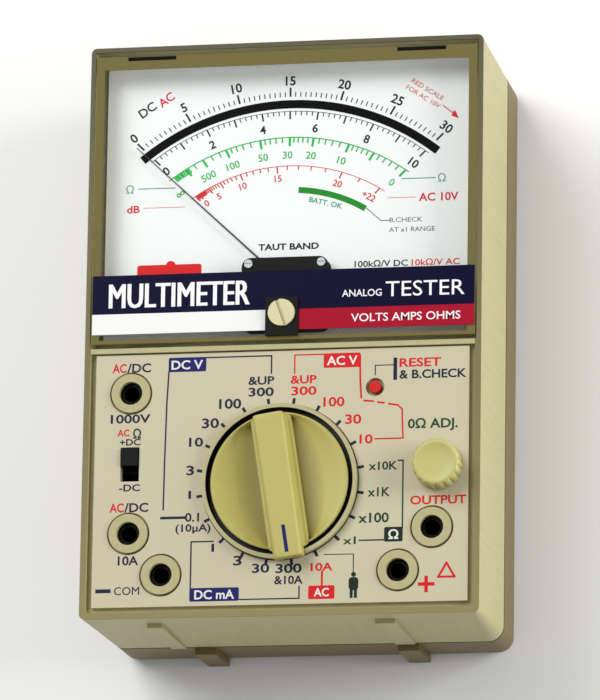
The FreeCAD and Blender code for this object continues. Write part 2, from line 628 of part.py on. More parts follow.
def draw_rectangle(sketch, left, bottom, right, top):
    draw_polygon(sketch, [(left, bottom), (right, bottom), (right, top), (left, top)])


def draw_circle(sketch, x, y, radius):
    centre = FreeCAD.Vector(value(x), value(y), 0)
    edge = sketch.addGeometry(Part.Circle(centre, FreeCAD.Vector(0, 0, 1), value(radius)))
    hold(sketch, "Radius", edge, size=radius)
    hold_point(sketch, edge, 3, x, y)


def draw_rounded(sketch, left, bottom, right, top, radius):
    """A rectangle with equal round corners: four lines joined by four tangent arcs."""
    x0, y0, x1, y1, r = (value(size) for size in (left, bottom, right, top, radius))
    first = sketch.GeometryCount
    lines = [((x0 + r, y0), (x1 - r, y0)), ((x1, y0 + r), (x1, y1 - r)),
             ((x1 - r, y1), (x0 + r, y1)), ((x0, y1 - r), (x0, y0 + r))]
    for (ax, ay), (bx, by) in lines:
        sketch.addGeometry(Part.LineSegment(FreeCAD.Vector(ax, ay, 0), FreeCAD.Vector(bx, by, 0)))
    centres = [(x1 - r, y0 + r, 270), (x1 - r, y1 - r, 0), (x0 + r, y1 - r, 90), (x0 + r, y0 + r, 180)]
    for cx, cy, start in centres:
        circle = Part.Circle(FreeCAD.Vector(cx, cy, 0), FreeCAD.Vector(0, 0, 1), r)
        sweep = (math.radians(start), math.radians(start + 90))
        sketch.addGeometry(Part.ArcOfCircle(circle, *sweep))
    for side in range(4):
        line = first + side
        arc = first + 4 + side
        sketch.addConstraint(Sketcher.Constraint("Tangent", line, 2, arc, 1))
        sketch.addConstraint(Sketcher.Constraint("Tangent", arc, 2, first + (side + 1) % 4, 1))
        sketch.addConstraint(Sketcher.Constraint("Horizontal" if side % 2 == 0 else "Vertical", line))
        if side:
            sketch.addConstraint(Sketcher.Constraint("Equal", first + 4, arc))
    hold(sketch, "Radius", first + 4, size=radius)
    hold(sketch, "DistanceY", -1, 1, first, 1, size=bottom)
    hold(sketch, "DistanceX", -1, 1, first + 1, 1, size=right)
    hold(sketch, "DistanceY", -1, 1, first + 2, 1, size=top)
    hold(sketch, "DistanceX", -1, 1, first + 3, 1, size=left)


def pad(body, sketch, length):
    """Grow a sketch along its normal."""
    feature = body.newObject("PartDesign::Pad", "Pad")
    feature.Profile = sketch
    tie(feature, Length=length)
    DOC.recompute()
    return feature


def pocket(body, sketch, length, upwards=False):
    """Cut a sketch down into the body, or up from below, and make sure that it cut."""
    before = body.Shape.Volume
    feature = body.newObject("PartDesign::Pocket", "Pocket")
    feature.Profile = sketch
    feature.Reversed = upwards
    tie(feature, Length=length)
    DOC.recompute()
    if body.Shape.Volume >= before:
        raise RuntimeError(f"a pocket of {body.Name} cuts nothing")
    return feature


def revolved(body, corners):
    """A solid of revolution about the body's Z axis from an outline of radius and height."""
    sketch = new_sketch(body, plane="XZ_Plane")
    draw_polygon(sketch, corners)
    feature = body.newObject("PartDesign::Revolution", "Revolution")
    feature.Profile = sketch
    feature.ReferenceAxis = (sketch, ["V_Axis"])
    feature.Angle = 360
    DOC.recompute()
    return feature


# ---- case --------------------------------------------------------------------------------------

def front_case():
    """Drafted shell with the meter pocket, the control deck, collars, bosses and foot rails."""
    body = new_body("front_case")
    low = new_sketch(body, "seam_height")
    draw_rounded(low, f"-{SEAM_HALF_WIDTH}", f"-{SEAM_HALF_HEIGHT}", SEAM_HALF_WIDTH,
                 SEAM_HALF_HEIGHT, "seam_corner")
    high = new_sketch(body, "case_depth")
    draw_rounded(high, f"-{HALF_WIDTH}", f"-{HALF_HEIGHT}", HALF_WIDTH, HALF_HEIGHT, "rim_corner")
    shell = body.newObject("PartDesign::AdditiveLoft", "Shell")
    shell.Profile = low
    shell.Sections = [high]
    DOC.recompute()

    cavity = new_sketch(body, "seam_height")
    draw_rounded(cavity, f"-{CAVITY_X}", f"-{CAVITY_Y}", CAVITY_X, CAVITY_Y, "seam_corner - 1")
    pocket(body, cavity, f"{SHELF_UNDER} - seam_height", upwards=True)
    under_deck = new_sketch(body, SHELF_UNDER)
    draw_rectangle(under_deck, f"-{CAVITY_X}", f"-{CAVITY_Y}", CAVITY_X, DIVIDER_UNDER)
    pocket(body, under_deck, f"{DECK_UNDER} - {SHELF_UNDER}", upwards=True)

    meter_pocket = new_sketch(body, "case_depth")
    draw_rectangle(meter_pocket, "-(case_width / 2 - rim_at_meter)", "divider_y",
                   "case_width / 2 - rim_at_meter", "case_height / 2 - rim_at_meter")
    pocket(body, meter_pocket, "shelf_depth")
    panel_pocket = new_sketch(body, "case_depth")
    draw_rectangle(panel_pocket, "-(case_width / 2 - rim_at_panel)",
                   "rim_at_panel - case_height / 2", "case_width / 2 - rim_at_panel", DIVIDER_UNDER)
    pocket(body, panel_pocket, "panel_recess")
    movement_hole = new_sketch(body, SHELF_TOP)
    draw_circle(movement_hole, "0", "pivot_y", "shelf_hole")
    pocket(body, movement_hole, "shelf_thickness")

    knob_ring = new_sketch(body, DECK_UNDER)
    draw_circle(knob_ring, "0", KNOB_Y, "ring_outer")
    draw_circle(knob_ring, "0", KNOB_Y, "ring_inner")
    pad(body, knob_ring, "deck_thickness + ring_height")
    bearing = new_sketch(body, BEARING_UNDER)
    draw_circle(bearing, "0", KNOB_Y, "bearing_radius")
    pad(body, bearing, "bearing_drop + deck_thickness / 2")
    collars = new_sketch(body, DECK_UNDER)
    for x, y in JACKS:
        draw_circle(collars, x, y, "jack_collar")
    pad(body, collars, "deck_thickness + jack_collar_height")
    for y, top in ((f"-{SCREW_Y}", DECK_UNDER), (SCREW_Y, SHELF_UNDER)):
        bosses = new_sketch(body, "seam_height")
        for x in ("-screw_x", "screw_x"):
            draw_circle(bosses, x, y, "boss_radius")
        pad(body, bosses, f"{top} - seam_height + shelf_thickness / 2")
    posts = new_sketch(body, BOARD_TOP)
    for x, y in BOARD_POSTS:
        draw_circle(posts, x, y, "post_radius")
    pad(body, posts, "board_drop + deck_thickness / 2")
    for middle, width in FRONT_RAILS:
        rail = new_sketch(body, "seam_height + rail_edge")
        draw_rectangle(rail, f"{middle} - {width} / 2", f"-({SEAM_HALF_HEIGHT} + rail_proud - end_draft / 2)",
                       f"{middle} + {width} / 2", f"-{CAVITY_Y} - rail_edge")
        pad(body, rail, "case_depth - rail_start - seam_height - rail_edge")

    shaft_bore = new_sketch(body, DECK_TOP)
    draw_circle(shaft_bore, "0", KNOB_Y, "shaft_radius + shaft_clearance")
    pocket(body, shaft_bore, "deck_thickness + bearing_drop")
    jack_heads = new_sketch(body, f"{DECK_TOP} + jack_collar_height")
    for x, y in JACKS:
        draw_circle(jack_heads, x, y, "jack_head + jack_head_play")
    pocket(body, jack_heads, "jack_collar_height + deck_thickness - jack_ledge")
    jack_barrels = new_sketch(body, JACK_SEAT)
    for x, y in JACKS:
        draw_circle(jack_barrels, x, y, "jack_barrel")
    pocket(body, jack_barrels, "jack_ledge")
    small_holes = new_sketch(body, DECK_TOP)
    draw_circle(small_holes, OHM_X, OHM_Y, "pot_bushing_radius")
    draw_circle(small_holes, "reset_x", RESET_Y, "reset_radius + reset_clearance")
    draw_rectangle(small_holes, f"{SLIDE_X} - slide_slot_width / 2", f"{SLIDE_Y} - slide_slot_length / 2",
                   f"{SLIDE_X} + slide_slot_width / 2", f"{SLIDE_Y} + slide_slot_length / 2")
    pocket(body, small_holes, "deck_thickness")
    pilots = new_sketch(body, "seam_height")
    for x, y in CASE_SCREWS:
        draw_circle(pilots, x, y, "screw_radius")
    pocket(body, pilots, "screw_length", upwards=True)
    post_pilots = new_sketch(body, BOARD_TOP)
    for x, y in BOARD_POSTS:
        draw_circle(post_pilots, x, y, "board_screw_radius")
    pocket(body, post_pilots, "board_drop * 0.7", upwards=True)
    frame_pilots = new_sketch(body, SHELF_UNDER)
    for side in ("-", ""):
        draw_circle(frame_pilots, f"{side}frame_screw_x", "pivot_y", "frame_screw_radius")
    pocket(body, frame_pilots, "shelf_thickness * 0.8", upwards=True)
    node(body, "front_case")


def rear_case():
    """Shallow shell with round rear edges, a locating lip, screw bosses, battery ribs and feet."""
    body = new_body("rear_case")
    back = new_sketch(body, "0")
    draw_rounded(back, f"-{SEAM_HALF_WIDTH}", f"-{SEAM_HALF_HEIGHT}", SEAM_HALF_WIDTH,
                 SEAM_HALF_HEIGHT, "seam_corner")
    shell = pad(body, back, "seam_height - seam_gap")
    rear_edges = [f"Edge{i + 1}" for i, edge in enumerate(body.Shape.Edges)
                  if edge.BoundBox.ZMax < 0.001]
    rounding = body.newObject("PartDesign::Fillet", "RearRound")
    rounding.Base = (shell, rear_edges)
    tie(rounding, Radius="rear_round")
    DOC.recompute()

    feet = new_sketch(body, "rear_foot_edge")
    for side in (-1, 1):
        middle = f"{side} * rear_foot_x"
        draw_rectangle(feet, f"{middle} - rear_foot_width / 2",
                       f"-({SEAM_HALF_HEIGHT} + rear_foot_proud)",
                       f"{middle} + rear_foot_width / 2", f"-{CAVITY_Y}")
    pad(body, feet, "seam_height - seam_gap - 2 * rear_foot_edge")
    step = new_sketch(body, "seam_height - seam_gap - overlap")
    draw_rounded(step, f"-({SEAM_HALF_WIDTH} - seam_inset)", f"-({SEAM_HALF_HEIGHT} - seam_inset)",
                 f"{SEAM_HALF_WIDTH} - seam_inset", f"{SEAM_HALF_HEIGHT} - seam_inset",
                 "seam_corner - seam_inset")
    pad(body, step, "seam_gap + overlap")
    lip = new_sketch(body, "seam_height - overlap")
    draw_rounded(lip, f"-({CAVITY_X} - lip_clearance)", f"-({CAVITY_Y} - lip_clearance)",
                 f"{CAVITY_X} - lip_clearance", f"{CAVITY_Y} - lip_clearance",
                 "seam_corner - lip_corner_step")
    pad(body, lip, "lip_height + overlap")
    hollow = new_sketch(body, "seam_height + lip_height")
    inner_x = f"({CAVITY_X} - lip_clearance - lip_thickness)"
    inner_y = f"({CAVITY_Y} - lip_clearance - lip_thickness)"
    draw_rounded(hollow, f"-{inner_x}", f"-{inner_y}", inner_x, inner_y, "seam_corner - 2 * lip_corner_step")
    pocket(body, hollow, "seam_height + lip_height - rear_wall")

    bosses = new_sketch(body, "rear_wall / 2")
    for x, y in CASE_SCREWS:
        draw_circle(bosses, x, y, "boss_radius + rear_boss_extra")
    pad(body, bosses, "seam_height - rear_wall / 2")
    ribs = new_sketch(body, "rear_wall / 2")
    tray_x = "(cell_length / 2 + cell_button_height + contact_thickness * 2 + rib_gap)"
    for y in (f"{CELL_Y} - cell_radius - rib_gap - rib_thickness",
              f"{CELL_Y} + cell_pitch + cell_radius + rib_gap"):
        draw_rectangle(ribs, f"-{tray_x}", y, tray_x, f"{y} + rib_thickness")
    pad(body, ribs, "cell_radius + rear_wall / 2")
    end_ribs = new_sketch(body, "rear_wall / 2")
    for side in (-1, 1):
        near = f"{side} * {tray_x}"
        far = f"{side} * ({tray_x} + rib_thickness)"
        left, right = (far, near) if side < 0 else (near, far)
        draw_rectangle(end_ribs, left, f"{CELL_Y} - cell_radius - rib_gap - rib_thickness", right,
                       f"{BLOCK_CELL_Y} + block_cell_width / 2 + rib_gap")
    pad(body, end_ribs, "cell_radius * end_rib_rise + rear_wall / 2")

    seats = new_sketch(body, "0")
    for x, y in CASE_SCREWS:
        draw_circle(seats, x, y, "screw_head_radius + screw_seat_play")
    pocket(body, seats, "screw_sink", upwards=True)
    through = new_sketch(body, "seam_height")
    for x, y in CASE_SCREWS:
        draw_circle(through, x, y, "screw_radius + screw_play")
    pocket(body, through, "seam_height - screw_sink")
    node(body, "rear_case")


def case_screws():
    """Four pan head screws, driven in from the rear."""
    screws = []
    for x, y in CASE_SCREWS:
        head = cylinder(x, y, "screw_sink - screw_head_height", "screw_head_radius", "screw_head_height")
        shank = cylinder(x, y, "screw_sink", "screw_radius", "screw_length")
        low, long = "screw_sink - screw_head_height", "screw_head_radius * cross_share"
        slots = [block(x, y, low, long, "cross_width", "cross_depth"),
                 block(x, y, low, "cross_width", long, "cross_depth")]
        screws.append(without(joined(head, shank), *slots))
    node(together(*screws), "case_screws")


def panel_plate():
    """Flat printed plate in the panel recess, cleared round everything that passes through it."""
    body = new_body("panel_plate")
    outline = new_sketch(body, DECK_TOP)
    half = "(case_width / 2 - rim_at_panel - panel_gap)"
    draw_rectangle(outline, f"-{half}", "rim_at_panel + panel_gap - case_height / 2", half,
                   f"{DIVIDER_UNDER} - panel_top_gap")
    pad(body, outline, "panel_thickness")
    holes = new_sketch(body, PANEL_FACE)
    draw_circle(holes, "0", KNOB_Y, "ring_outer + panel_hole_gap")
    for x, y in JACKS:
        draw_circle(holes, x, y, "jack_collar + jack_collar_gap")
    draw_circle(holes, OHM_X, OHM_Y, "pot_nut_radius + pot_nut_room")
    draw_circle(holes, "reset_x", RESET_Y, "reset_ring")
    draw_rectangle(holes, f"{SLIDE_X} - slide_slot_width / 2", f"{SLIDE_Y} - slide_slot_length / 2",
                   f"{SLIDE_X} + slide_slot_width / 2", f"{SLIDE_Y} + slide_slot_length / 2")
    pocket(body, holes, "panel_thickness")
    node(body, "panel_plate")


# ---- meter cover and dial ----------------------------------------------------------------------

def meter_cover():
    """Clear lid with a skirt that stands on the shelf, slots for the snap hooks, adjuster hole."""
    body = new_body("meter_cover")
    outline = new_sketch(body, SHELF_TOP)
    draw_rounded(outline, f"-{COVER_X}", COVER_BOTTOM, COVER_X, COVER_TOP, "rim_corner / 2")
    pad(body, outline, "shelf_depth")
    inside = new_sketch(body, SHELF_TOP)
    inner_x = f"({COVER_X} - cover_skirt)"
    draw_rounded(inside, f"-{inner_x}", f"{COVER_BOTTOM} + cover_skirt", inner_x,
                 f"{COVER_TOP} - cover_skirt", "rim_corner / 3")
    pocket(body, inside, "shelf_depth - cover_thickness", upwards=True)
    slots = new_sketch(body, "case_depth")
    for side in (-1, 1):
        inner = f"{side} * hook_slot_inner"
        outer = f"{side} * hook_slot_outer"
        left, right = (outer, inner) if side < 0 else (inner, outer)
        draw_rectangle(slots, left, f"{COVER_TOP} - hook_slot_width", right, f"{COVER_TOP} + 1")
    pocket(body, slots, "hook_slot_depth")
    hole = new_sketch(body, "case_depth")
    draw_circle(hole, "0", "adjuster_y", "adjuster_shank + adjuster_play")
    pocket(body, hole, "cover_thickness")
    node(body, "meter_cover")


def name_band():
    """Thin printed band across the cover, cut out round the adjuster block."""
    body = new_body("name_band")
    outline = new_sketch(body, "case_depth")
    half = f"({COVER_X} - band_inset)"
    edge = "(block_half_width + 0.05)"
    draw_polygon(outline, [(f"-{half}", "band_bottom"), (f"-{edge}", "band_bottom"),
                           (f"-{edge}", "block_top + 0.05"), (edge, "block_top + 0.05"),
                           (edge, "band_bottom"), (half, "band_bottom"),
                           (half, "band_top"), (f"-{half}", "band_top")])
    pad(body, outline, "band_thickness")
    node(body, "name_band")


def adjuster_block():
    """Black block on the cover with a round seat for the zero adjust screw."""
    body = new_body("adjuster_block")
    outline = new_sketch(body, "case_depth")
    draw_rectangle(outline, "-block_half_width", "block_bottom", "block_half_width", "block_top")
    pad(body, outline, "block_thickness")
    seat = new_sketch(body, "case_depth + block_thickness")
    draw_circle(seat, "0", "adjuster_y", "adjuster_radius + 0.15")
    pocket(body, seat, "block_thickness")
    node(body, "adjuster_block")


def dial_plate():
    """White dial inside the skirt, cut out under the movement cap."""
    body = new_body("dial_plate")
    outline = new_sketch(body, SHELF_TOP)
    inset = "(cover_skirt + dial_gap)"
    draw_rectangle(outline, f"-({COVER_X} - {inset})", f"{COVER_BOTTOM} + {inset}",
                   f"{COVER_X} - {inset}", f"{COVER_TOP} - {inset}")
    pad(body, outline, "dial_thickness")
    window = new_sketch(body, DIAL_FACE)
    draw_rectangle(window, "-(bridge_half_length + 0.4)", "pivot_y - bridge_half_width - 2",
                   "bridge_half_length + 0.4", "pivot_y + bridge_half_width + 2")
    pocket(body, window, "dial_thickness")
    node(body, "dial_plate")


def mirror_strip():
    """Dark mirror foil in an arc over the dial, drawn as the part of a ring inside a wedge."""
    rim = cylinder("0", "arc_centre_y", DIAL_FACE, "mirror_radius + mirror_width / 2", "mirror_thickness")
    tie(rim, Angle="mirror_half_angle * 2")
    hub = cylinder("0", "arc_centre_y", f"{DIAL_FACE} - 1", "mirror_radius - mirror_width / 2",
                   "mirror_thickness + 2")
    start = 90 - value("mirror_half_angle")
    place(rim, ("0", "arc_centre_y", DIAL_FACE), start)
    node(without(rim, hub), "mirror_strip")


def movement_cap():
    """Black cap over the movement, open at the front for the pointer's sweep."""
    body = new_body("movement_cap")
    outline = new_sketch(body, DIAL_FACE)
    draw_rounded(outline, "-cap_half_width", "cap_bottom", "cap_half_width", "cap_top", "cap_corner")
    pad(body, outline, "cap_height")
    inside = new_sketch(body, DIAL_FACE)
    draw_rounded(inside, "-(cap_half_width - cap_wall)", "cap_bottom + cap_wall",
                 "cap_half_width - cap_wall", "cap_top - cap_wall", "cap_corner - cap_wall")
    pocket(body, inside, "cap_height - cap_roof", upwards=True)
    sweep = new_sketch(body, f"{DIAL_FACE} + cap_height - cap_roof")
    draw_rectangle(sweep, "-(cap_half_width + 1)", "pivot_y + 1.5", "cap_half_width + 1", "cap_top + 1")
    pocket(body, sweep, "cap_height - cap_roof - cap_slot_low")
    holes = new_sketch(body, f"{DIAL_FACE} + cap_height")
    draw_circle(holes, "0", "adjuster_y", "eccentricity + eccentric_radius + 0.4")
    for side in ("-", ""):
        draw_circle(holes, f"{side}cap_screw_x", "cap_screw_y", "cap_screw_radius")
    pocket(body, holes, "cap_roof")
    node(body, "movement_cap")


def cap_screws():
    """Two small screws that hold the cap down on the dial."""
    screws = []
    for side in ("-", ""):
        x = f"{side}cap_screw_x"
        shank = cylinder(x, "cap_screw_y", DIAL_FACE, "cap_screw_radius", "cap_height")
        head = cylinder(x, "cap_screw_y", CAP_TOP, "cap_screw_head", "cap_screw_head_height")
        slot = block(x, "cap_screw_y", f"{CAP_TOP} + cap_screw_head_height / 2",
                     "cap_screw_head * 3", "0.35", "cap_screw_head_height")
        screws.append(without(joined(shank, head), slot))
    node(together(*screws), "cap_screws")


# ---- moving coil movement ----------------------------------------------------------------------

def movement_frame():
    """Plate under the shelf that carries the magnet system and both bridges."""
    plate = span("-frame_half_width", "frame_half_width", "pivot_y - frame_half_height",
                 "pivot_y + frame_half_height", FRAME_UNDER, SHELF_UNDER)
    hole = cylinder("0", "pivot_y", FRAME_UNDER, "frame_hole", "frame_thickness")
    pilots = [cylinder(f"{side}frame_screw_x", "pivot_y", FRAME_UNDER, "frame_screw_radius",
                       "frame_thickness") for side in ("-", "")]
    leg_x = "(bridge_half_length - bridge_leg / 2)"
    feet = [block(f"{side}{leg_x}", "pivot_y", FRAME_UNDER, "bridge_leg + frame_foot_extra",
                  "bridge_half_width * 2", "frame_thickness") for side in ("-", "")]
    node(joined(without(plate, hole, *pilots), *feet), "movement_frame")


def movement_screws():
    """Two screws from below, through the frame plate into the shelf."""
    screws = []
    for side in ("-", ""):
        x = f"{side}frame_screw_x"
        head = cylinder(x, "pivot_y", f"{FRAME_UNDER} - frame_head_height",
                        "frame_screw_radius * frame_head_share", "frame_head_height")
        shank = cylinder(x, "pivot_y", FRAME_UNDER, "frame_screw_radius",
                         "frame_thickness + shelf_thickness * frame_grip")
        screws.append(joined(head, shank))
    node(together(*screws), "movement_screws")


def magnet_system():
    """Core magnet inside a soft iron ring, held by two brass keys out of the coil's way."""
    ring = cylinder("0", "pivot_y", YOKE_UNDER, "yoke_outer", "yoke_height")
    gap = cylinder("0", "pivot_y", YOKE_UNDER, "yoke_inner", "yoke_height")
    node(without(ring, gap), "yoke_ring")
    node(cylinder("0", "pivot_y", CORE_UNDER, "core_radius", "core_height"), "core_magnet")
    keys = []
    for side in (-1, 1):
        bar = block(f"{side} * (core_radius + yoke_inner) / 2", "pivot_y",
                    f"{CORE_UNDER} + (core_height - key_height) / 2",
                    "yoke_inner - core_radius + key_overlap", "key_width", "key_height")
        inside = cylinder("0", "pivot_y", CORE_UNDER, "core_radius", "core_height")
        reach = cylinder("0", "pivot_y", CORE_UNDER, "yoke_inner", "core_height")
        within = DOC.addObject("Part::Common", "Within")
        within.Base = bar
        within.Tool = reach
        keys.append(without(within, inside))
    node(together(*keys), "core_keys")


def moving_coil():
    """Wound frame round the core magnet, in line with the pointer, with a hub on each end."""
    body = new_body("moving_coil", ("0", "pivot_y", "0"), value("pointer_rest_angle") + 90)
    outside = new_sketch(body, "-coil_half_width", "XZ_Plane")
    draw_rectangle(outside, "-coil_half_length", COIL_UNDER, "coil_half_length", COIL_TOP)
    pad(body, outside, "coil_half_width * 2")
    inside = new_sketch(body, "coil_half_width", "XZ_Plane")
    draw_rectangle(inside, "-(coil_half_length - coil_side)", f"{COIL_UNDER} + coil_end",
                   "coil_half_length - coil_side", f"{COIL_TOP} - coil_end")
    pocket(body, inside, "coil_half_width * 2")
    node(body, "moving_coil")
    front = cylinder("0", "pivot_y", COIL_TOP, "staff_radius", f"{HUB_UNDER} - {COIL_TOP}")
    rear = cylinder("0", "pivot_y", f"{COIL_UNDER} - rear_staff_length", "staff_radius",
                    "rear_staff_length")
    node(together(front, rear), "coil_hubs")


def pointer():
    """Thin tapered blade on a hub, with two short arms behind it for the balance weights."""
    body = new_body("pointer", ("0", "pivot_y", "0"), value("pointer_rest_angle"))
    blade = new_sketch(body, POINTER_UNDER)
    draw_polygon(blade, [("-pointer_width / 2", "0"), ("pointer_width / 2", "0"),
                         ("pointer_tip_width / 2", "pointer_length"),
                         ("-pointer_tip_width / 2", "pointer_length")])
    pad(body, blade, "pointer_thickness")
    hub = new_sketch(body, HUB_UNDER)
    draw_circle(hub, "0", "0", "pointer_hub_radius")
    pad(body, hub, "hub_height")
    for side in (-1, 1):
        arm = new_sketch(body, POINTER_UNDER)
        angle = math.radians(value("tail_angle") * side)
        along = (-math.sin(angle), math.cos(angle))
        across = (math.cos(angle), math.sin(angle))
        corners = []
        for reach, half in ((0, -0.4), (0, 0.4), (1, 0.4), (1, -0.4)):
            corners.append((f"{along[0] * reach:.6f} * tail_length + {across[0] * half:.6f}",
                            f"{along[1] * reach:.6f} * tail_length + {across[1] * half:.6f}"))
        draw_polygon(arm, corners)
        pad(body, arm, "pointer_thickness")
    node(body, "pointer")


def balance_weights():
    """Two small weights on the balance arms."""
    weights = []
    for side in (-1, 1):
        angle = math.radians(value("pointer_rest_angle") + side * value("tail_angle"))
        reach = "(tail_length - weight_radius)"
        weights.append(cylinder(f"{-math.sin(angle):.6f} * {reach}",
                                f"pivot_y + {math.cos(angle):.6f} * {reach}",
                                f"{POINTER_UNDER} + pointer_thickness", "weight_radius", "weight_height"))
    node(together(*weights), "balance_weights")


def taut_bands():
    """The two flat metal bands that suspend the coil, one at the front and one at the rear."""
    front = block("0", "pivot_y", HUB_TOP, "taut_band_width", "taut_band_thickness",
                  f"{LEVER_TOP} - {HUB_TOP}")
    rear = block("0", "pivot_y", f"{COIL_UNDER} - rear_staff_length - rear_band_length",
                 "taut_band_width", "taut_band_thickness", "rear_band_length")
    node(together(front, rear), "taut_bands")


def front_bridge():
    """Strap over the pointer hub on two legs, with a collar that the zero lever turns on."""
    strap = block("0", "pivot_y", BRIDGE_UNDER, "bridge_half_length * 2", "bridge_half_width * 2",
                  "bridge_thickness")
    leg_x = "(bridge_half_length - bridge_leg / 2)"
    legs = [block(f"{side}{leg_x}", "pivot_y", SHELF_UNDER, "bridge_leg", "bridge_half_width * 2",
                  f"{BRIDGE_UNDER} - {SHELF_UNDER}") for side in ("-", "")]
    collar = cylinder("0", "pivot_y", BRIDGE_TOP, "collar_radius", "collar_height")
    bore = cylinder("0", "pivot_y", BRIDGE_UNDER, "collar_bore", "bridge_thickness + collar_height")
    node(without(joined(strap, collar, *legs), bore), "front_bridge")


def rear_bridge():
    """Strap behind the magnet on two pillars that hang from the frame plate."""
    top = f"({COIL_UNDER} - rear_staff_length - rear_band_length)"
    strap = block("0", "pivot_y", f"{top} - rear_bridge_thickness", "rear_bridge_half * 2",
                  "rear_bridge_width", "rear_bridge_thickness")
    pillar_x = "(rear_bridge_half - rear_pillar / 2)"
    pillars = [block(f"{side}{pillar_x}", "pivot_y", top, "rear_pillar", "rear_bridge_width",
                     f"{FRAME_UNDER} - {top}") for side in ("-", "")]
    node(joined(strap, *pillars), "rear_bridge")


def zero_lever():
    """Lever on the front bridge's collar; its fork takes the adjust screw's eccentric pin."""
    hub = cylinder("0", "pivot_y", LEVER_UNDER, "lever_hub", "lever_thickness")
    arm = span("-fork_half_width", "fork_half_width", "pivot_y - lever_reach", "pivot_y - collar_radius",
               LEVER_UNDER, LEVER_TOP)
    bore = cylinder("0", "pivot_y", LEVER_UNDER, "collar_radius + lever_play", "lever_thickness")
    slot_half = "(eccentric_radius + fork_play)"
    inner_end = "(adjuster_y - eccentricity + eccentric_radius * 2.2)"
    slot = span(f"-{slot_half}", slot_half, "pivot_y - lever_reach", inner_end, LEVER_UNDER, LEVER_TOP)
    node(without(joined(hub, arm), bore, slot), "zero_lever")
    leaf = block("0", "pivot_y", LEVER_TOP, "lever_hub * 1.8", "1", "tension_leaf")
    node(leaf, "tension_spring")


def zero_adjust_screw():
    """Slotted screw head on the cover, its shank through it and an eccentric pin behind it."""
    flange_top = f"({COVER_UNDER} - 0.05)"
    head = cylinder("0", "adjuster_y", "case_depth + 0.1", "adjuster_radius", "adjuster_thickness")
    shank = cylinder("0", "adjuster_y", flange_top, "adjuster_shank", f"case_depth + 0.1 - {flange_top}")
    flange = cylinder("0", "adjuster_y", f"{CAP_TOP} + 0.05", "adjuster_flange",
                      f"{flange_top} - {CAP_TOP} - 0.05")
    pin = cylinder("0", "adjuster_y - eccentricity", f"{LEVER_UNDER} + 0.05", "eccentric_radius",
                   f"{CAP_TOP} + 0.05 - {LEVER_UNDER} - 0.05")
    slot = DOC.addObject("Part::Box", "Slot")
    tie(slot, Length="adjuster_radius * 3", Width="adjuster_slot", Height="adjuster_thickness")
    angle = math.radians(value("adjuster_slot_angle"))
    along = (math.cos(angle), math.sin(angle))
    place(slot, (f"-{along[0]:.6f} * adjuster_radius * 1.5 + {along[1]:.6f} * adjuster_slot / 2",
                 f"adjuster_y - {along[1]:.6f} * adjuster_radius * 1.5 - {along[0]:.6f} * adjuster_slot / 2",
                 "case_depth + 0.1 + adjuster_thickness * 0.55"), value("adjuster_slot_angle"))
    node(without(joined(head, shank, flange, pin), slot), "zero_adjust_screw")


# ---- range switch ------------------------------------------------------------------------------

def range_knob():
    """Disc with a grip bar across it; the bar's nose reaches out over the moulded ring."""
    body = new_body("range_knob", ("0", KNOB_Y, "0"), value("knob_rest_angle"))
    revolved(body, [("0", KNOB_UNDER), ("knob_radius", KNOB_UNDER),
                    ("knob_radius", f"{KNOB_TOP} - knob_edge"), ("knob_radius - knob_edge", KNOB_TOP),
                    ("0", KNOB_TOP)])
    side = new_sketch(body, "-bar_half_width", "YZ_Plane")
    nose_under = f"({DECK_TOP} + ring_height + nose_clearance)"
    bar_top = f"({KNOB_TOP} + bar_height)"
    root, root_low = "(knob_radius - bar_root)", f"{KNOB_TOP} - root_depth"
    draw_polygon(side, [(root, root_low), ("bar_tail", f"{KNOB_TOP} - overlap"),
                        ("bar_tail - tail_slope", bar_top), ("-(bar_nose - nose_slope)", bar_top),
                        ("-bar_nose", f"{bar_top} - nose_face"), ("-bar_nose", nose_under),
                        (f"-{root}", nose_under), (f"-{root}", root_low)])
    pad(body, side, "bar_half_width * 2")
    bevels = new_sketch(body, "bar_nose + 2", "XZ_Plane")
    for sign in (-1, 1):
        draw_polygon(bevels, [(f"{sign} * bar_top_half_width", f"{bar_top} + 0.5"),
                              (f"{sign} * bar_top_half_width", bar_top),
                              (f"{sign} * (bar_half_width + 0.01)", f"{KNOB_TOP} + bevel_foot"),
                              (f"{sign} * (bar_half_width + 1)", f"{bar_top} + 0.5")])
    pocket(body, bevels, "bar_nose * 2 + 4")
    bore = new_sketch(body, KNOB_UNDER)
    draw_circle(bore, "0", "0", "shaft_radius")
    pocket(body, bore, "knob_disc_height + bar_height - knob_cover", upwards=True)
    node(body, "range_knob")


def switch_shaft():
    """Shaft from the rotor up into the knob, with a groove for the retaining clip."""
    top = f"({KNOB_TOP} + bar_height - knob_cover)"
    rod = cylinder("0", KNOB_Y, ROTOR_UNDER, "shaft_radius", f"{top} - {ROTOR_UNDER}")
    groove_floor = f"({CLIP_TOP} - clip_thickness)"
    ring = cylinder("0", KNOB_Y, groove_floor, "shaft_radius + 1", "clip_thickness")
    core = cylinder("0", KNOB_Y, groove_floor, "shaft_radius - clip_groove", "clip_thickness")
    node(without(rod, without(ring, core)), "switch_shaft")
    clip = cylinder("0", KNOB_Y, groove_floor, "clip_radius", "clip_thickness")
    inner = cylinder("0", KNOB_Y, groove_floor, "shaft_radius - clip_groove", "clip_thickness")
    half_mouth = "(shaft_radius - clip_groove) * clip_mouth"
    mouth = span(f"-{half_mouth}", half_mouth, KNOB_Y, f"{KNOB_Y} + clip_radius + 1", groove_floor,
                 CLIP_TOP)
    node(without(clip, inner, mouth), "shaft_clip")


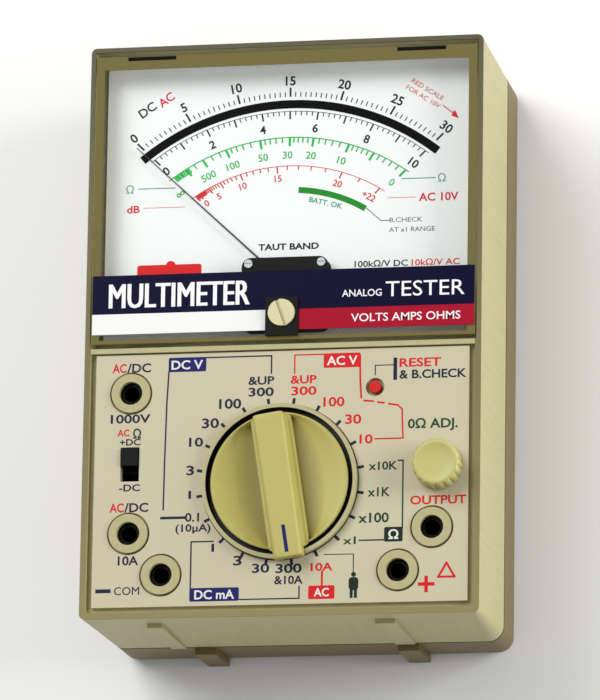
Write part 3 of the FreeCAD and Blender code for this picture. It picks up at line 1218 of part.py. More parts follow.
def switch_rotor():
    """Moulded rotor with a pocket for each detent ball; wiper leaves and balls ride on it."""
    disc = cylinder("0", KNOB_Y, ROTOR_UNDER, "rotor_radius", "rotor_thickness")
    bore = cylinder("0", KNOB_Y, ROTOR_UNDER, "shaft_radius", "rotor_thickness")
    pockets = []
    balls = []
    springs = []
    for side in (-1, 1):
        angle = math.radians(value("knob_rest_angle"))
        x = f"{side * math.cos(angle):.6f} * ball_orbit"
        y = f"{KNOB_Y} + {side * math.sin(angle):.6f} * ball_orbit"
        floor = f"({ROTOR_TOP} - pocket_depth)"
        pockets.append(cylinder(x, y, floor, "ball_radius + ball_pocket_play", "pocket_depth"))
        ball = DOC.addObject("Part::Sphere", "Ball")
        tie(ball, Radius="ball_radius")
        balls.append(place(ball, (x, y, BALL_Z)))
        springs.append(coil_spring(x, y, floor, "ball_radius - spring_wire",
                                   f"{BALL_Z} - ball_radius * ball_seat - {floor}", 3))
    node(without(disc, bore, *pockets), "switch_rotor")
    node(together(*balls), "detent_balls")
    node(together(*springs), "detent_springs")


def coil_spring(x, y, z, radius, height, turns):
    """A round wire swept along a helix; height is the spring's whole height."""
    helix = DOC.addObject("Part::Helix", "Helix")
    helix.SegmentLength = 1
    tie(helix, Radius=radius, Height=f"{height} - spring_wire", Pitch=f"({height} - spring_wire) / {turns}")
    place(helix, (x, y, f"{z} + spring_wire / 2"))
    wire = DOC.addObject("Part::Circle", "Wire")
    tie(wire, Radius="spring_wire / 2")
    place(wire, (f"{x} + {radius}", y, f"{z} + spring_wire / 2"), 90, (1, 0, 0))
    DOC.recompute()
    spring = DOC.addObject("Part::Sweep", "Spring")
    spring.Sections = [wire]
    spring.Spine = (helix, [f"Edge{i + 1}" for i in range(len(helix.Shape.Edges))])
    spring.Solid = True
    spring.Frenet = True
    return spring


def wiper_contacts():
    """Three sprung leaves under the rotor, their tips just above the board's contact tracks."""
    leaves = []
    drop = f"({ROTOR_UNDER} - {BOARD_TOP} - wiper_gap)"
    for turn in (0, 120, 240):
        body = new_body("wiper", ("0", KNOB_Y, "0"), value("knob_rest_angle") + turn)
        side = new_sketch(body, "-wiper_width / 2", "XZ_Plane")
        draw_polygon(side, [("wiper_root", ROTOR_UNDER), ("wiper_root", f"{ROTOR_UNDER} - wiper_thickness"),
                            ("wiper_root + wiper_flat", f"{ROTOR_UNDER} - wiper_thickness"),
                            ("wiper_root + wiper_length - wiper_tip", f"{ROTOR_UNDER} - {drop}"),
                            ("wiper_root + wiper_length", f"{ROTOR_UNDER} - {drop}"),
                            ("wiper_root + wiper_flat + wiper_bend", ROTOR_UNDER)])
        pad(body, side, "wiper_width")
        leaves.append(body)
    node(together(*leaves), "wiper_contacts")


def detent_ring():
    """Ring under the deck with one radial notch for each position of the switch."""
    ring = cylinder("0", KNOB_Y, CREST, "detent_outer", "detent_thickness")
    hole = cylinder("0", KNOB_Y, CREST, "detent_inner", "detent_thickness")
    notches = []
    count = int(value("detent_positions"))
    for step in range(count):
        turn = 360 * step / count + value("knob_rest_angle")
        angle = math.radians(turn)
        axis = (-math.sin(angle), math.cos(angle), 0)
        start = "(detent_inner - 1)"
        notches.append(cylinder(f"{math.cos(angle):.6f} * {start}",
                                f"{KNOB_Y} + {math.sin(angle):.6f} * {start}",
                                f"{CREST} - notch_axis_drop", "notch_radius",
                                "detent_outer - detent_inner + 2", 90, axis))
    node(without(ring, hole, *notches), "detent_ring")


# ---- ohm adjuster, reset button, slide switch --------------------------------------------------

def ohm_adjuster():
    """Fluted knob on the shaft of a potentiometer that hangs under the deck by its nut."""
    knob_under = f"({PANEL_FACE} + ohm_lift)"
    body = new_body("ohm_adjust_knob", (OHM_X, OHM_Y, "0"))
    revolved(body, [("pot_shaft_radius", f"{knob_under} + ohm_hollow"),
                    ("ohm_radius - ohm_skirt", f"{knob_under} + ohm_hollow"),
                    ("ohm_radius - ohm_skirt", knob_under), ("ohm_radius", knob_under),
                    ("ohm_radius", f"{knob_under} + ohm_height - 0.6"),
                    ("ohm_radius - 0.6", f"{knob_under} + ohm_height"), ("0", f"{knob_under} + ohm_height"),
                    ("0", f"{knob_under} + ohm_height - 1.5"),
                    ("pot_shaft_radius", f"{knob_under} + ohm_height - 1.5")])
    flute = new_sketch(body, f"{knob_under} + ohm_height")
    draw_circle(flute, "ohm_radius + flute_radius * 0.35", "0", "flute_radius")
    cut = pocket(body, flute, "ohm_height")
    pattern = body.newObject("PartDesign::PolarPattern", "Flutes")
    pattern.Originals = [cut]
    origin_axis = [part for part in body.Origin.OriginFeatures if part.Role == "Z_Axis"][0]
    pattern.Axis = (origin_axis, [""])
    pattern.Angle = 360
    pattern.Occurrences = int(value("ohm_flutes"))
    body.Tip = pattern
    node(body, "ohm_adjust_knob")
    shaft_under = f"({DECK_UNDER} - 0.5)"
    node(cylinder(OHM_X, OHM_Y, shaft_under, "pot_shaft_radius",
                  f"{knob_under} + ohm_height - 1.5 - {shaft_under}"), "potentiometer_shaft")
    can = cylinder(OHM_X, OHM_Y, f"{DECK_UNDER} - pot_height", "pot_radius", "pot_height")
    bushing = cylinder(OHM_X, OHM_Y, DECK_UNDER, "pot_bushing_radius", "deck_thickness + pot_nut_height")
    bore = cylinder(OHM_X, OHM_Y, f"{DECK_UNDER} - 1", "pot_shaft_radius + shaft_clearance",
                    "deck_thickness + pot_nut_height + 1")
    node(without(joined(can, bushing), bore), "potentiometer_body")
    nut = prism(OHM_X, OHM_Y, DECK_TOP, f"pot_nut_radius * 2 * {math.cos(math.pi / 6):.3f}", "pot_nut_height")
    hole = cylinder(OHM_X, OHM_Y, DECK_TOP, "pot_bushing_radius", "pot_nut_height")
    node(without(nut, hole), "potentiometer_nut")


def reset_button():
    """Round button held in by a flange under the deck, sprung up off its switch."""
    flange_top = f"({DECK_UNDER} - flange_play)"
    flange_under = f"({flange_top} - reset_flange_height)"
    stem = cylinder("reset_x", RESET_Y, flange_top, "reset_radius",
                    f"{PANEL_FACE} + reset_proud - {flange_top}")
    flange = cylinder("reset_x", RESET_Y, flange_under, "reset_flange", "reset_flange_height")
    node(joined(stem, flange), "reset_button")
    body_top = f"({flange_under} - reset_spring_length)"
    node(block("reset_x", RESET_Y, BOARD_TOP, "reset_body", "reset_body", f"{body_top} - {BOARD_TOP}"),
         "reset_switch_body")
    spring = coil_spring("reset_x", RESET_Y, body_top, "reset_radius",
                         f"{flange_under} - {body_top}", 4)
    node(spring, "reset_spring")


def slide_switch():
    """Slide switch body under the deck and its knob in the window, at the upper end of travel."""
    low = f"({DECK_UNDER} - slide_body_height)"
    wall = "slide_body_wall"
    can = block(SLIDE_X, SLIDE_Y, low, "slide_body_width", "slide_body_length", "slide_body_height")
    room = block(SLIDE_X, SLIDE_Y, f"{low} + {wall}", f"slide_body_width - 2 * {wall}",
                 f"slide_body_length - 2 * {wall}", f"slide_body_height - 2 * {wall}")
    window = block(SLIDE_X, SLIDE_Y, f"{DECK_UNDER} - {wall}", "slide_slot_width", "slide_slot_length", wall)
    node(without(can, room, window), "polarity_switch_body")
    knob_length = "(slide_slot_length - slide_travel - 2 * slide_play)"
    knob_y = f"({SLIDE_Y} + slide_travel / 2)"
    foot_top = f"({DECK_UNDER} - {wall} - slider_top_play)"
    foot_low = f"({low} + {wall} + slider_lift)"
    foot = block(SLIDE_X, knob_y, foot_low, f"slide_body_width - 2 * ({wall} + slider_side_play)",
                 f"{knob_length} + 2 * slider_lap", f"{foot_top} - {foot_low}")
    grip = block(SLIDE_X, knob_y, foot_top, "slide_slot_width - 2 * slide_play", knob_length,
                 f"{PANEL_FACE} + slide_proud - {foot_top}")
    node(joined(foot, grip), "polarity_slider")


# ---- jacks -------------------------------------------------------------------------------------

def jacks():
    """Five sunk sockets for 4 mm plugs, each held against its ledge by a nut under the deck."""
    nuts = []
    bore_floor = "(-jack_bore_depth)"
    for number, (x, y) in enumerate(JACKS, start=1):
        body = new_body(f"jack_socket_{number}", (x, y, JACK_HEAD_TOP))
        revolved(body, [("jack_bore", "0"), ("jack_head", "0"), ("jack_head", "-jack_head_height"),
                        ("jack_barrel", "-jack_head_height"),
                        ("jack_barrel", f"{bore_floor} - jack_floor"), ("0", f"{bore_floor} - jack_floor"),
                        ("0", bore_floor), ("jack_bore", bore_floor)])
        node(body, f"jack_socket_{number}")
        under = f"({DECK_UNDER} - jack_nut_height)"
        nut = prism(x, y, under, "jack_nut_flats", "jack_nut_height")
        thread = cylinder(x, y, under, "jack_barrel", "jack_nut_height")
        nuts.append(without(nut, thread))
    node(together(*nuts), "jack_nuts")


# ---- circuit board and batteries ---------------------------------------------------------------

def circuit_board():
    """Board on four posts under the deck, cleared round the jack sockets and screw bosses."""
    board_x = f"({CAVITY_X} - board_gap)"
    board_low = f"(-{CAVITY_Y} + board_gap)"
    board_high = "(divider_y - board_top_gap)"
    board = span(f"-{board_x}", board_x, board_low, board_high, BOARD_UNDER, BOARD_TOP)
    cuts = []
    for x, y in JACKS:
        cuts.append(cylinder(x, y, BOARD_UNDER, "jack_barrel + board_hole_play", "board_thickness"))
    notch_x = "(screw_x - boss_radius - board_hole_play)"
    notch_y = f"(-{SCREW_Y} + boss_radius + board_hole_play)"
    for x0, x1 in ((f"-{board_x} - 1", f"-{notch_x}"), (notch_x, f"{board_x} + 1")):
        cuts.append(span(x0, x1, f"{board_low} - 1", notch_y, BOARD_UNDER, BOARD_TOP))
    for x, y in BOARD_POSTS:
        cuts.append(cylinder(x, y, BOARD_UNDER, "board_screw_radius", "board_thickness"))
    node(without(board, *cuts), "circuit_board")
    screws = []
    for x, y in BOARD_POSTS:
        head = cylinder(x, y, f"{BOARD_UNDER} - 1.5", "board_screw_head", "1.5")
        shank = cylinder(x, y, BOARD_UNDER, "board_screw_radius", "board_thickness + board_drop * 0.6")
        screws.append(joined(head, shank))
    node(together(*screws), "board_screws")


def board_parts():
    """What hangs under the board: relay, fuse in its clips, shunt bar and precision resistors."""
    node(block("-relay_x", f"{KNOB_Y} + parts_above_knob", f"{BOARD_UNDER} - relay_height",
               "relay_length", "relay_width", "relay_height"), "protection_relay")
    fuse_y = f"({KNOB_Y} + parts_above_knob)"
    fuse_z = f"({BOARD_UNDER} - fuse_radius - clip_wall)"
    node(lying_cylinder("fuse_x", fuse_y, fuse_z, "fuse_radius", "fuse_length"), "fuse")
    clips = []
    for side in (-1, 1):
        x = f"fuse_x + {side} * (fuse_length / 2 - fuse_clip_inset)"
        ring = lying_cylinder(x, fuse_y, fuse_z, "fuse_radius + clip_wall", "fuse_clip_length")
        hole = lying_cylinder(x, fuse_y, fuse_z, "fuse_radius", "fuse_clip_length")
        mouth = block(x, fuse_y, f"{fuse_z} - fuse_radius - 1", "fuse_clip_length",
                      "fuse_radius * fuse_mouth_share", "fuse_radius")
        clips.append(without(ring, hole, mouth))
    node(together(*clips), "fuse_clips")
    legs = [cylinder(f"{side} * shunt_span / 2", f"{KNOB_Y} - shunt_below_knob",
                     f"{BOARD_UNDER} - shunt_drop", "shunt_radius", "shunt_drop") for side in (-1, 1)]
    bar = lying_cylinder("0", f"{KNOB_Y} - shunt_below_knob", f"{BOARD_UNDER} - shunt_drop", "shunt_radius",
                         "shunt_span + 2 * shunt_radius")
    node(joined(bar, *legs), "shunt_bar")
    resistors = []
    count = int(value("resistor_count"))
    for index in range(count):
        x = f"({index} - {(count - 1) / 2}) * resistor_pitch"
        resistors.append(cylinder(x, f"{KNOB_Y} - resistors_below_knob", f"{BOARD_UNDER} - resistor_radius",
                                  "resistor_radius", "resistor_length", 90, (1, 0, 0)))
    node(together(*resistors), "precision_resistors")


def batteries():
    """Two AA cells side by side for the lower ohm ranges and one 9 V battery for the highest."""
    cells = []
    contacts = []
    for index, side in enumerate((1, -1)):
        y = f"({CELL_Y} + {index} * cell_pitch)"
        z = f"({CELL_FLOOR} + cell_radius)"
        can = lying_cylinder("0", y, z, "cell_radius", "cell_length")
        button = lying_cylinder(f"{side} * (cell_length + cell_button_height) / 2", y, z, "cell_button",
                                "cell_button_height")
        cells.append(joined(can, button))
        far = f"(cell_length / 2 + cell_button_height + contact_thickness / 2)"
        near = f"(cell_length / 2 + contact_thickness / 2)"
        for end, x in ((side, far), (-side, near)):
            contacts.append(block(f"{end} * {x}", y, f"{CELL_FLOOR} + contact_inset", "contact_thickness",
                                  "contact_width", "cell_radius * 2 - 2 * contact_inset"))
    node(together(*cells), "aa_cells")
    node(together(*contacts), "battery_contacts")
    node(block("0", BLOCK_CELL_Y, CELL_FLOOR, "block_cell_length", "block_cell_width",
               "block_cell_height"), "battery_9v")


# ---- build, check, write -----------------------------------------------------------------------

fill_sheet()
for build in (front_case, rear_case, case_screws, panel_plate, meter_cover, name_band, adjuster_block,
              dial_plate, mirror_strip, movement_cap, cap_screws, movement_frame, movement_screws,
              magnet_system, moving_coil, pointer, balance_weights, taut_bands, front_bridge,
              rear_bridge, zero_lever, zero_adjust_screw, range_knob, switch_shaft, switch_rotor,
              wiper_contacts, detent_ring, ohm_adjuster, reset_button, slide_switch, jacks,
              circuit_board, board_parts, batteries):
    build()
DOC.recompute()

for thing in DOC.Objects:
    if "Invalid" in thing.State or "Error" in thing.State:
        raise RuntimeError(f"{thing.Label} did not recompute: {thing.State}")
for piece in NODES:
    if piece.Shape.isNull() or not piece.Shape.isValid():
        raise RuntimeError(f"{piece.Label} has no valid shape")

os.makedirs("parts", exist_ok=True)
for piece in NODES:
    piece.Shape.exportStep(f"parts/{piece.Label}.step")
print(len(NODES), "sub-parts written")
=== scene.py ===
import bmesh
import bpy
import numpy as np
from mathutils import Matrix, Vector


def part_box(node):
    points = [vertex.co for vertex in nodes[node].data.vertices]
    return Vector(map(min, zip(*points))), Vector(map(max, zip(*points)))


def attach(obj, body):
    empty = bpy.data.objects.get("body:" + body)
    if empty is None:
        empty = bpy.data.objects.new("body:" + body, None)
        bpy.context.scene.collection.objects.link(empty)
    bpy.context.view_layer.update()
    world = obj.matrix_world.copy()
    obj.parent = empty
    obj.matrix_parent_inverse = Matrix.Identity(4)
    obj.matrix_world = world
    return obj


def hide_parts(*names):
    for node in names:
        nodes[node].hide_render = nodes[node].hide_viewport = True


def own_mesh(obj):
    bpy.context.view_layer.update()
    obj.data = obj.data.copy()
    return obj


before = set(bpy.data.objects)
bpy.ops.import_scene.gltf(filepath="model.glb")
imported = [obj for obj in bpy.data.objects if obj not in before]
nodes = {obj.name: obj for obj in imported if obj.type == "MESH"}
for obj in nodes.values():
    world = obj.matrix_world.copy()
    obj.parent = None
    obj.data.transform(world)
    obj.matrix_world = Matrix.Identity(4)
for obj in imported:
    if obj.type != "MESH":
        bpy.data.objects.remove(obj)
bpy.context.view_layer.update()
mm = 0.001


# --- View and light ---------------------------------------------------------------------------
# The meter lies on its back on a pale table top. It is seen through a long lens from above its
# lower right corner, so its right and lower sides show. One broad soft lamp hangs beyond its upper
# left corner and one stands at its right.
def linear(code):
    """The linear colour of an sRGB hex code: each channel c is c / 12.92 up to 0.04045, and
    ((c + 0.055) / 1.055) to the power 2.4 above it."""
    channel = np.array([int(code[i:i + 2], 16) for i in (0, 2, 4)]) / 255
    curved = ((channel + 0.055) / 1.055) ** 2.4
    return (*np.where(channel <= 0.04045, channel / 12.92, curved).tolist(), 1.0)


def add(tree, kind, inputs=None, **fields):
    """Adds one shader node. An input is given a value, or another node's output to follow."""
    made = tree.nodes.new("ShaderNode" + kind)
    for name, value in fields.items():
        setattr(made, name, value)
    for name, value in (inputs or {}).items():
        if isinstance(value, bpy.types.NodeSocket):
            tree.links.new(value, made.inputs[name])
        else:
            made.inputs[name].default_value = value
    return made


def put(name, data):
    """A new object for this mesh, outline, lamp or camera, linked into the scene."""
    made = bpy.data.objects.new(name, data)
    bpy.context.scene.collection.objects.link(made)
    return made


def new_finish(name):
    """A material with one Principled shader on its output, and where a point lies on the object."""
    material = bpy.data.materials.new(name)
    material.use_nodes = True
    tree = material.node_tree
    tree.nodes.clear()
    surface = add(tree, "BsdfPrincipled")
    add(tree, "OutputMaterial", {"Surface": surface.outputs["BSDF"]})
    return material, tree, surface, add(tree, "TexCoord").outputs["Object"]


turned_right, raised, rolled = np.radians((40.2, 73.0, -40.6))
target = Vector((-0.7, -0.1, 30.0)) * mm
distance = 1.6
toward = Vector((np.sin(turned_right) * np.cos(raised), -np.cos(turned_right) * np.cos(raised),
                 np.sin(raised)))
level = Vector((0, 0, 1)).cross(toward).normalized()
upward = toward.cross(level)
camera_right = level * np.cos(rolled) + upward * np.sin(rolled)
camera_up = upward * np.cos(rolled) - level * np.sin(rolled)
eye = target + toward * distance
camera = put("camera", bpy.data.cameras.new("camera"))
camera.data.lens = 313.8
camera.data.clip_start = 0.05
camera.matrix_world = Matrix([(*row, eye[i]) for i, row in enumerate(
    zip(camera_right, camera_up, toward))] + [(0, 0, 0, 1)])
bpy.context.scene.camera = camera
bpy.context.scene.view_settings.view_transform = "Standard"

table_half = 1.6
table_mesh = bpy.data.meshes.new("table_top")
table_mesh.from_pydata([(-table_half, -table_half, 0), (table_half, -table_half, 0),
                        (table_half, table_half, 0), (-table_half, table_half, 0)],
                       [], [(0, 1, 2, 3)])
table_top = put("table_top", table_mesh)
# Matt white lacquer, with a hardly visible cloudiness.
lacquer, tree, surface, place = new_finish("matt_white_lacquer")
cloud = add(tree, "TexNoise", {"Vector": place, "Scale": 8.0})
tint = add(tree, "MixRGB", {"Fac": cloud.outputs["Fac"], "Color1": linear("f7f7f6"),
                            "Color2": linear("fbfbfa")})
tree.links.new(tint.outputs["Color"], surface.inputs["Base Color"])
surface.inputs["Roughness"].default_value = 0.75
table_mesh.materials.append(lacquer)

for name, where, width, watts in (("window_lamp", (-0.85, 0.82, 1.38), 1.2, 23.0),
                                  ("side_lamp", (1.25, 0.15, 0.5), 0.7, 13.0)):
    lamp = bpy.data.lights.new(name, "AREA")
    lamp.energy, lamp.size = watts, width
    holder = put(name, lamp)
    holder.location = where
    holder.rotation_euler = (target - Vector(where)).to_track_quat("-Z", "Y").to_euler()
sky = bpy.data.worlds.new("soft_white")
sky.use_nodes = True
sky.node_tree.nodes["Background"].inputs["Color"].default_value = linear("fbfcff")
sky.node_tree.nodes["Background"].inputs["Strength"].default_value = 0.36
bpy.context.scene.world = sky


# --- Case -------------------------------------------------------------------------------------
# Two deep mouldings of beige ABS, joined at a recessed seam by four screws from the back.
def paint(names, material):
    """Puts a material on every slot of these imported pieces."""
    for name in names:
        for i in range(len(nodes[name].material_slots)):
            nodes[name].material_slots[i].material = material


def moulded(name, colour, shade, roughness, cloud_mm=9.0, grain_mm=0.35, grain_depth_mm=0.02):
    """Moulded plastic: two close colours drift into each other as clouds some millimetres wide, and
    the mould's spark-eroded grain is a fine bump that also breaks up the gloss."""
    material, tree, surface, place = new_finish(name)
    cloud = add(tree, "TexNoise", {"Vector": place, "Scale": 1 / (cloud_mm * mm), "Detail": 4.0})
    tint = add(tree, "MixRGB", {"Fac": cloud.outputs["Fac"], "Color1": linear(colour),
                                "Color2": linear(shade)})
    grain = add(tree, "TexNoise", {"Vector": place, "Scale": 1 / (grain_mm * mm), "Detail": 2.0})
    gloss = add(tree, "MapRange", {"Value": grain.outputs["Fac"], "To Min": roughness - 0.08,
                                   "To Max": roughness + 0.08})
    relief = add(tree, "Bump", {"Height": grain.outputs["Fac"], "Strength": 0.6,
                                "Distance": grain_depth_mm * mm})
    tree.links.new(tint.outputs["Color"], surface.inputs["Base Color"])
    tree.links.new(gloss.outputs["Result"], surface.inputs["Roughness"])
    tree.links.new(relief.outputs["Normal"], surface.inputs["Normal"])
    return material, tree, surface, tint


axis_y = (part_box("switch_shaft")[0].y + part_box("switch_shaft")[1].y) / 2


def from_axis(tree, place):
    """How far a point lies from the range knob's axis, whatever its height."""
    flat = add(tree, "Mapping", {"Vector": place, "Location": (0, -axis_y, 0),
                                 "Scale": (1.0, 1.0, 0.0)})
    return add(tree, "VectorMath", {0: flat.outputs["Vector"]}, operation="LENGTH").outputs["Value"]


# ABS, spark-eroded mould: satin, warm beige, faintly streaked along the mould's draw. The rim's
# face is painted darker as shade, most at the top, and the gap round the range knob is painted black
# as shade.
case_abs, tree, surface, tint = moulded("case_abs", "b2a978", "a8a070", 0.5)
place = tree.nodes["Texture Coordinate"].outputs["Object"]
stretched = add(tree, "Mapping", {"Vector": place, "Scale": (1.0, 1.0, 0.03)})
streak = add(tree, "TexNoise", {"Vector": stretched.outputs["Vector"], "Scale": 1 / (1.4 * mm)})
streaked = add(tree, "MixRGB", {"Fac": streak.outputs["Fac"], "Color1": tint.outputs["Color"],
                                "Color2": linear("bdb585")})
rim_inside_x, rim_inside_y, rim_low, gap_r = 50.4, 73.5, 57.4, 19.25
# Near black painted as shade, for the gap round the range knob and the knob disc's wall.
painted_shade_black = linear("0c0a06")
axes = add(tree, "SeparateXYZ", {"Vector": place})
aside = add(tree, "Math", {0: axes.outputs["X"]}, operation="ABSOLUTE")
ahead = add(tree, "Math", {0: axes.outputs["Y"]}, operation="ABSOLUTE")
past_x = add(tree, "Math", {0: aside.outputs["Value"], 1: rim_inside_x * mm},
             operation="GREATER_THAN")
past_y = add(tree, "Math", {0: ahead.outputs["Value"], 1: rim_inside_y * mm},
             operation="GREATER_THAN")
outside = add(tree, "Math", {0: past_x.outputs["Value"], 1: past_y.outputs["Value"]},
              operation="MAXIMUM")
raised_part = add(tree, "Math", {0: axes.outputs["Z"], 1: rim_low * mm}, operation="GREATER_THAN")
on_rim = add(tree, "Math", {0: outside.outputs["Value"], 1: raised_part.outputs["Value"]},
             operation="MULTIPLY")
# Painted shade: the rim's face darkens from 8a7f4c at the bottom to 4f4826 at the top.
towards_top = add(tree, "MapRange", {"Value": axes.outputs["Y"], "From Min": -73 * mm,
                                     "From Max": rim_inside_y * mm})
rim_shade_tone = add(tree, "MixRGB", {"Fac": towards_top.outputs["Result"], "Color1": linear("8a7f4c"),
                                "Color2": linear("4f4826")})
rim_painted_shade = add(tree, "MixRGB", {"Fac": on_rim.outputs["Value"], "Color1": streaked.outputs["Color"],
                              "Color2": rim_shade_tone.outputs["Color"]})
# Painted shade: the case is painted black inside the gap round the range knob.
in_gap = add(tree, "Math", {0: from_axis(tree, place), 1: gap_r * mm}, operation="LESS_THAN")
gap_painted_shade = add(tree, "MixRGB", {"Fac": in_gap.outputs["Value"], "Color1": rim_painted_shade.outputs["Color"],
                               "Color2": painted_shade_black})
tree.links.new(gap_painted_shade.outputs["Color"], surface.inputs["Base Color"])
paint(["front_case"], case_abs)
# The rear half is given a darker, browner copy of the same plastic: painted shade.
paint(["rear_case"], moulded("rear_case_abs_painted_shade", "77673c", "6f5f36", 0.55)[0])


# --- Control panel ----------------------------------------------------------------------------
# A thin cream plate laid in the case, screen printed in dark blue, red and green. The inks are
# films a few hundredths of a millimetre thick; the boxed words are printed over their boxes.
ink_mm = 0.03
lift_step = 0.012
golden_share = 0.618034

# Printed plate: satin cream lacquer with a fine speckle.
plate_lacquer, tree, surface, tint = moulded("plate_lacquer", "c9bd9d", "c2be9c", 0.5, 22.0, 0.5,
                                             0.006)
place = tree.nodes["Texture Coordinate"].outputs["Object"]
speckle = add(tree, "TexNoise", {"Vector": place, "Scale": 1 / (0.45 * mm), "Detail": 3.0})
speckled = add(tree, "MixRGB", {"Fac": speckle.outputs["Fac"], "Color1": linear("cbc1a4"),
                                "Color2": tint.outputs["Color"]})
tree.links.new(speckled.outputs["Color"], surface.inputs["Base Color"])
paint(["panel_plate"], plate_lacquer)


def ink(name, colour, roughness=0.45):
    """Screen ink: a smooth film of one colour, which is a tenth darker to an eighth lighter in
    patches about half a millimetre wide."""
    material, tree, surface, place = new_finish(name)
    patch = add(tree, "TexNoise", {"Vector": place, "Scale": 1 / (0.5 * mm)})
    body = np.array(linear(colour))
    thin = add(tree, "MixRGB", {"Fac": patch.outputs["Fac"], "Color1": tuple(body * 0.9),
                                "Color2": tuple(body * 1.12 + 0.003)})
    tree.links.new(thin.outputs["Color"], surface.inputs["Base Color"])
    surface.inputs["Roughness"].default_value = roughness
    surface.inputs["Specular IOR Level"].default_value = 0.2
    return material


inks = {"blue": ink("blue_ink", "101a38"), "red": ink("red_ink", "d2141a"),
        "green": ink("green_ink", "173f22"), "pale": ink("pale_ink", "e4e6dc"),
        "deep_blue": ink("deep_blue_ink", "0c1160"), "deep_green": ink("deep_green_ink", "0a2413")}


capital = 0.729  # height of a capital letter in a font one unit high


def word(text, x, y, width, height, turn=0.0, weight=0.0):
    """A flat word: its outline is scaled to its width (or kept in proportion when width is 0) and
    to the height of its capitals, turned anticlockwise by degrees and centred on (x, y), in
    millimetres. A weight above 0 pushes the outline out, in font units."""
    curve = bpy.data.curves.new("word", "FONT")
    curve.body, curve.resolution_u, curve.offset = text, 3, weight
    holder = put("word", curve)
    flat = bpy.data.meshes.new_from_object(holder)
    points = np.array([v.co[:2] for v in flat.vertices])
    faces = [tuple(p.vertices) for p in flat.polygons]
    bpy.data.objects.remove(holder)
    bpy.data.meshes.remove(flat)
    points -= ((points[:, 0].min() + points[:, 0].max()) / 2, capital / 2)
    tall = height / capital
    wide = width / np.ptp(points[:, 0]) if width else tall
    points *= (wide, tall)
    cosine, sine = np.cos(np.radians(turn)), np.sin(np.radians(turn))
    return points @ np.array([[cosine, sine], [-sine, cosine]]) + (x, y), faces


def bar(x0, y0, x1, y1, width):
    """A straight stroke from (x0, y0) to (x1, y1): the line widened by half its width each way."""
    start, end = np.array((x0, y0)), np.array((x1, y1))
    along = (end - start) / np.hypot(*(end - start))
    aside = np.array((-along[1], along[0])) * width / 2
    return np.array([start - aside, end - aside, end + aside, start + aside]), [(0, 1, 2, 3)]


def stroke(points, width):
    """A bent line: one bar for each run, carried on by half the width at both ends, so that the
    corners are filled."""
    films = []
    for (x0, y0), (x1, y1) in zip(points[:-1], points[1:]):
        length = np.hypot(x1 - x0, y1 - y0)
        over = width / 2 / length
        films.append(bar(x0 - (x1 - x0) * over, y0 - (y1 - y0) * over,
                         x1 + (x1 - x0) * over, y1 + (y1 - y0) * over, width))
    return films


def arc(cx, cy, inner, outer, first, last, steps=48):
    """A ring sector between two radii: angles in degrees clockwise from straight up."""
    angle = np.radians(np.linspace(first, last, steps + 1))
    ray = np.stack([np.sin(angle), np.cos(angle)], 1)
    points = np.concatenate([ray * outer, ray * inner]) + (cx, cy)
    n = steps + 1
    return points, [(i, n + i, n + i + 1, i + 1) for i in range(steps)]


def tile(x0, y0, x1, y1, corner=0.4):
    """A filled rectangle with rounded corners: a quarter circle of four steps at each corner."""
    quarter = np.radians(np.linspace(0, 90, 5))
    points = []
    for i, (cx, cy) in enumerate(((x1 - corner, y1 - corner), (x0 + corner, y1 - corner),
                                  (x0 + corner, y0 + corner), (x1 - corner, y0 + corner))):
        angle = quarter + i * np.pi / 2
        points.append(np.stack([cx + corner * np.cos(angle), cy + corner * np.sin(angle)], 1))
    return np.concatenate(points), [tuple(range(4 * len(quarter)))]


def outline(*points):
    """A filled flat shape given by its corners, anticlockwise."""
    return np.array(points, float), [tuple(range(len(points)))]


def printed(name, films, z, body, material):
    """One printed film: flat shapes laid at height z and thickened upwards by the ink. Crossing
    strokes may not share a face, so shape i is lifted by a step times the fraction of 0.618 i."""
    points, faces, count = [], [], 0
    for i, (shape, members) in enumerate(films):
        lifted = z + lift_step * (i * golden_share % 1)
        points.append(np.column_stack([shape, np.full(len(shape), lifted)]))
        faces += [tuple(j + count for j in member) for member in members]
        count += len(shape)
    mesh = bpy.data.meshes.new(name)
    mesh.from_pydata(np.concatenate(points) * mm, [], faces)
    mesh.materials.append(material)
    film = put(name, mesh)
    thickness = film.modifiers.new("ink", "SOLIDIFY")
    thickness.thickness, thickness.offset = ink_mm * mm, 1.0
    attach(film, body)
    return film


panel_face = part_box("panel_plate")[1].z / mm
knob_y = axis_y / mm
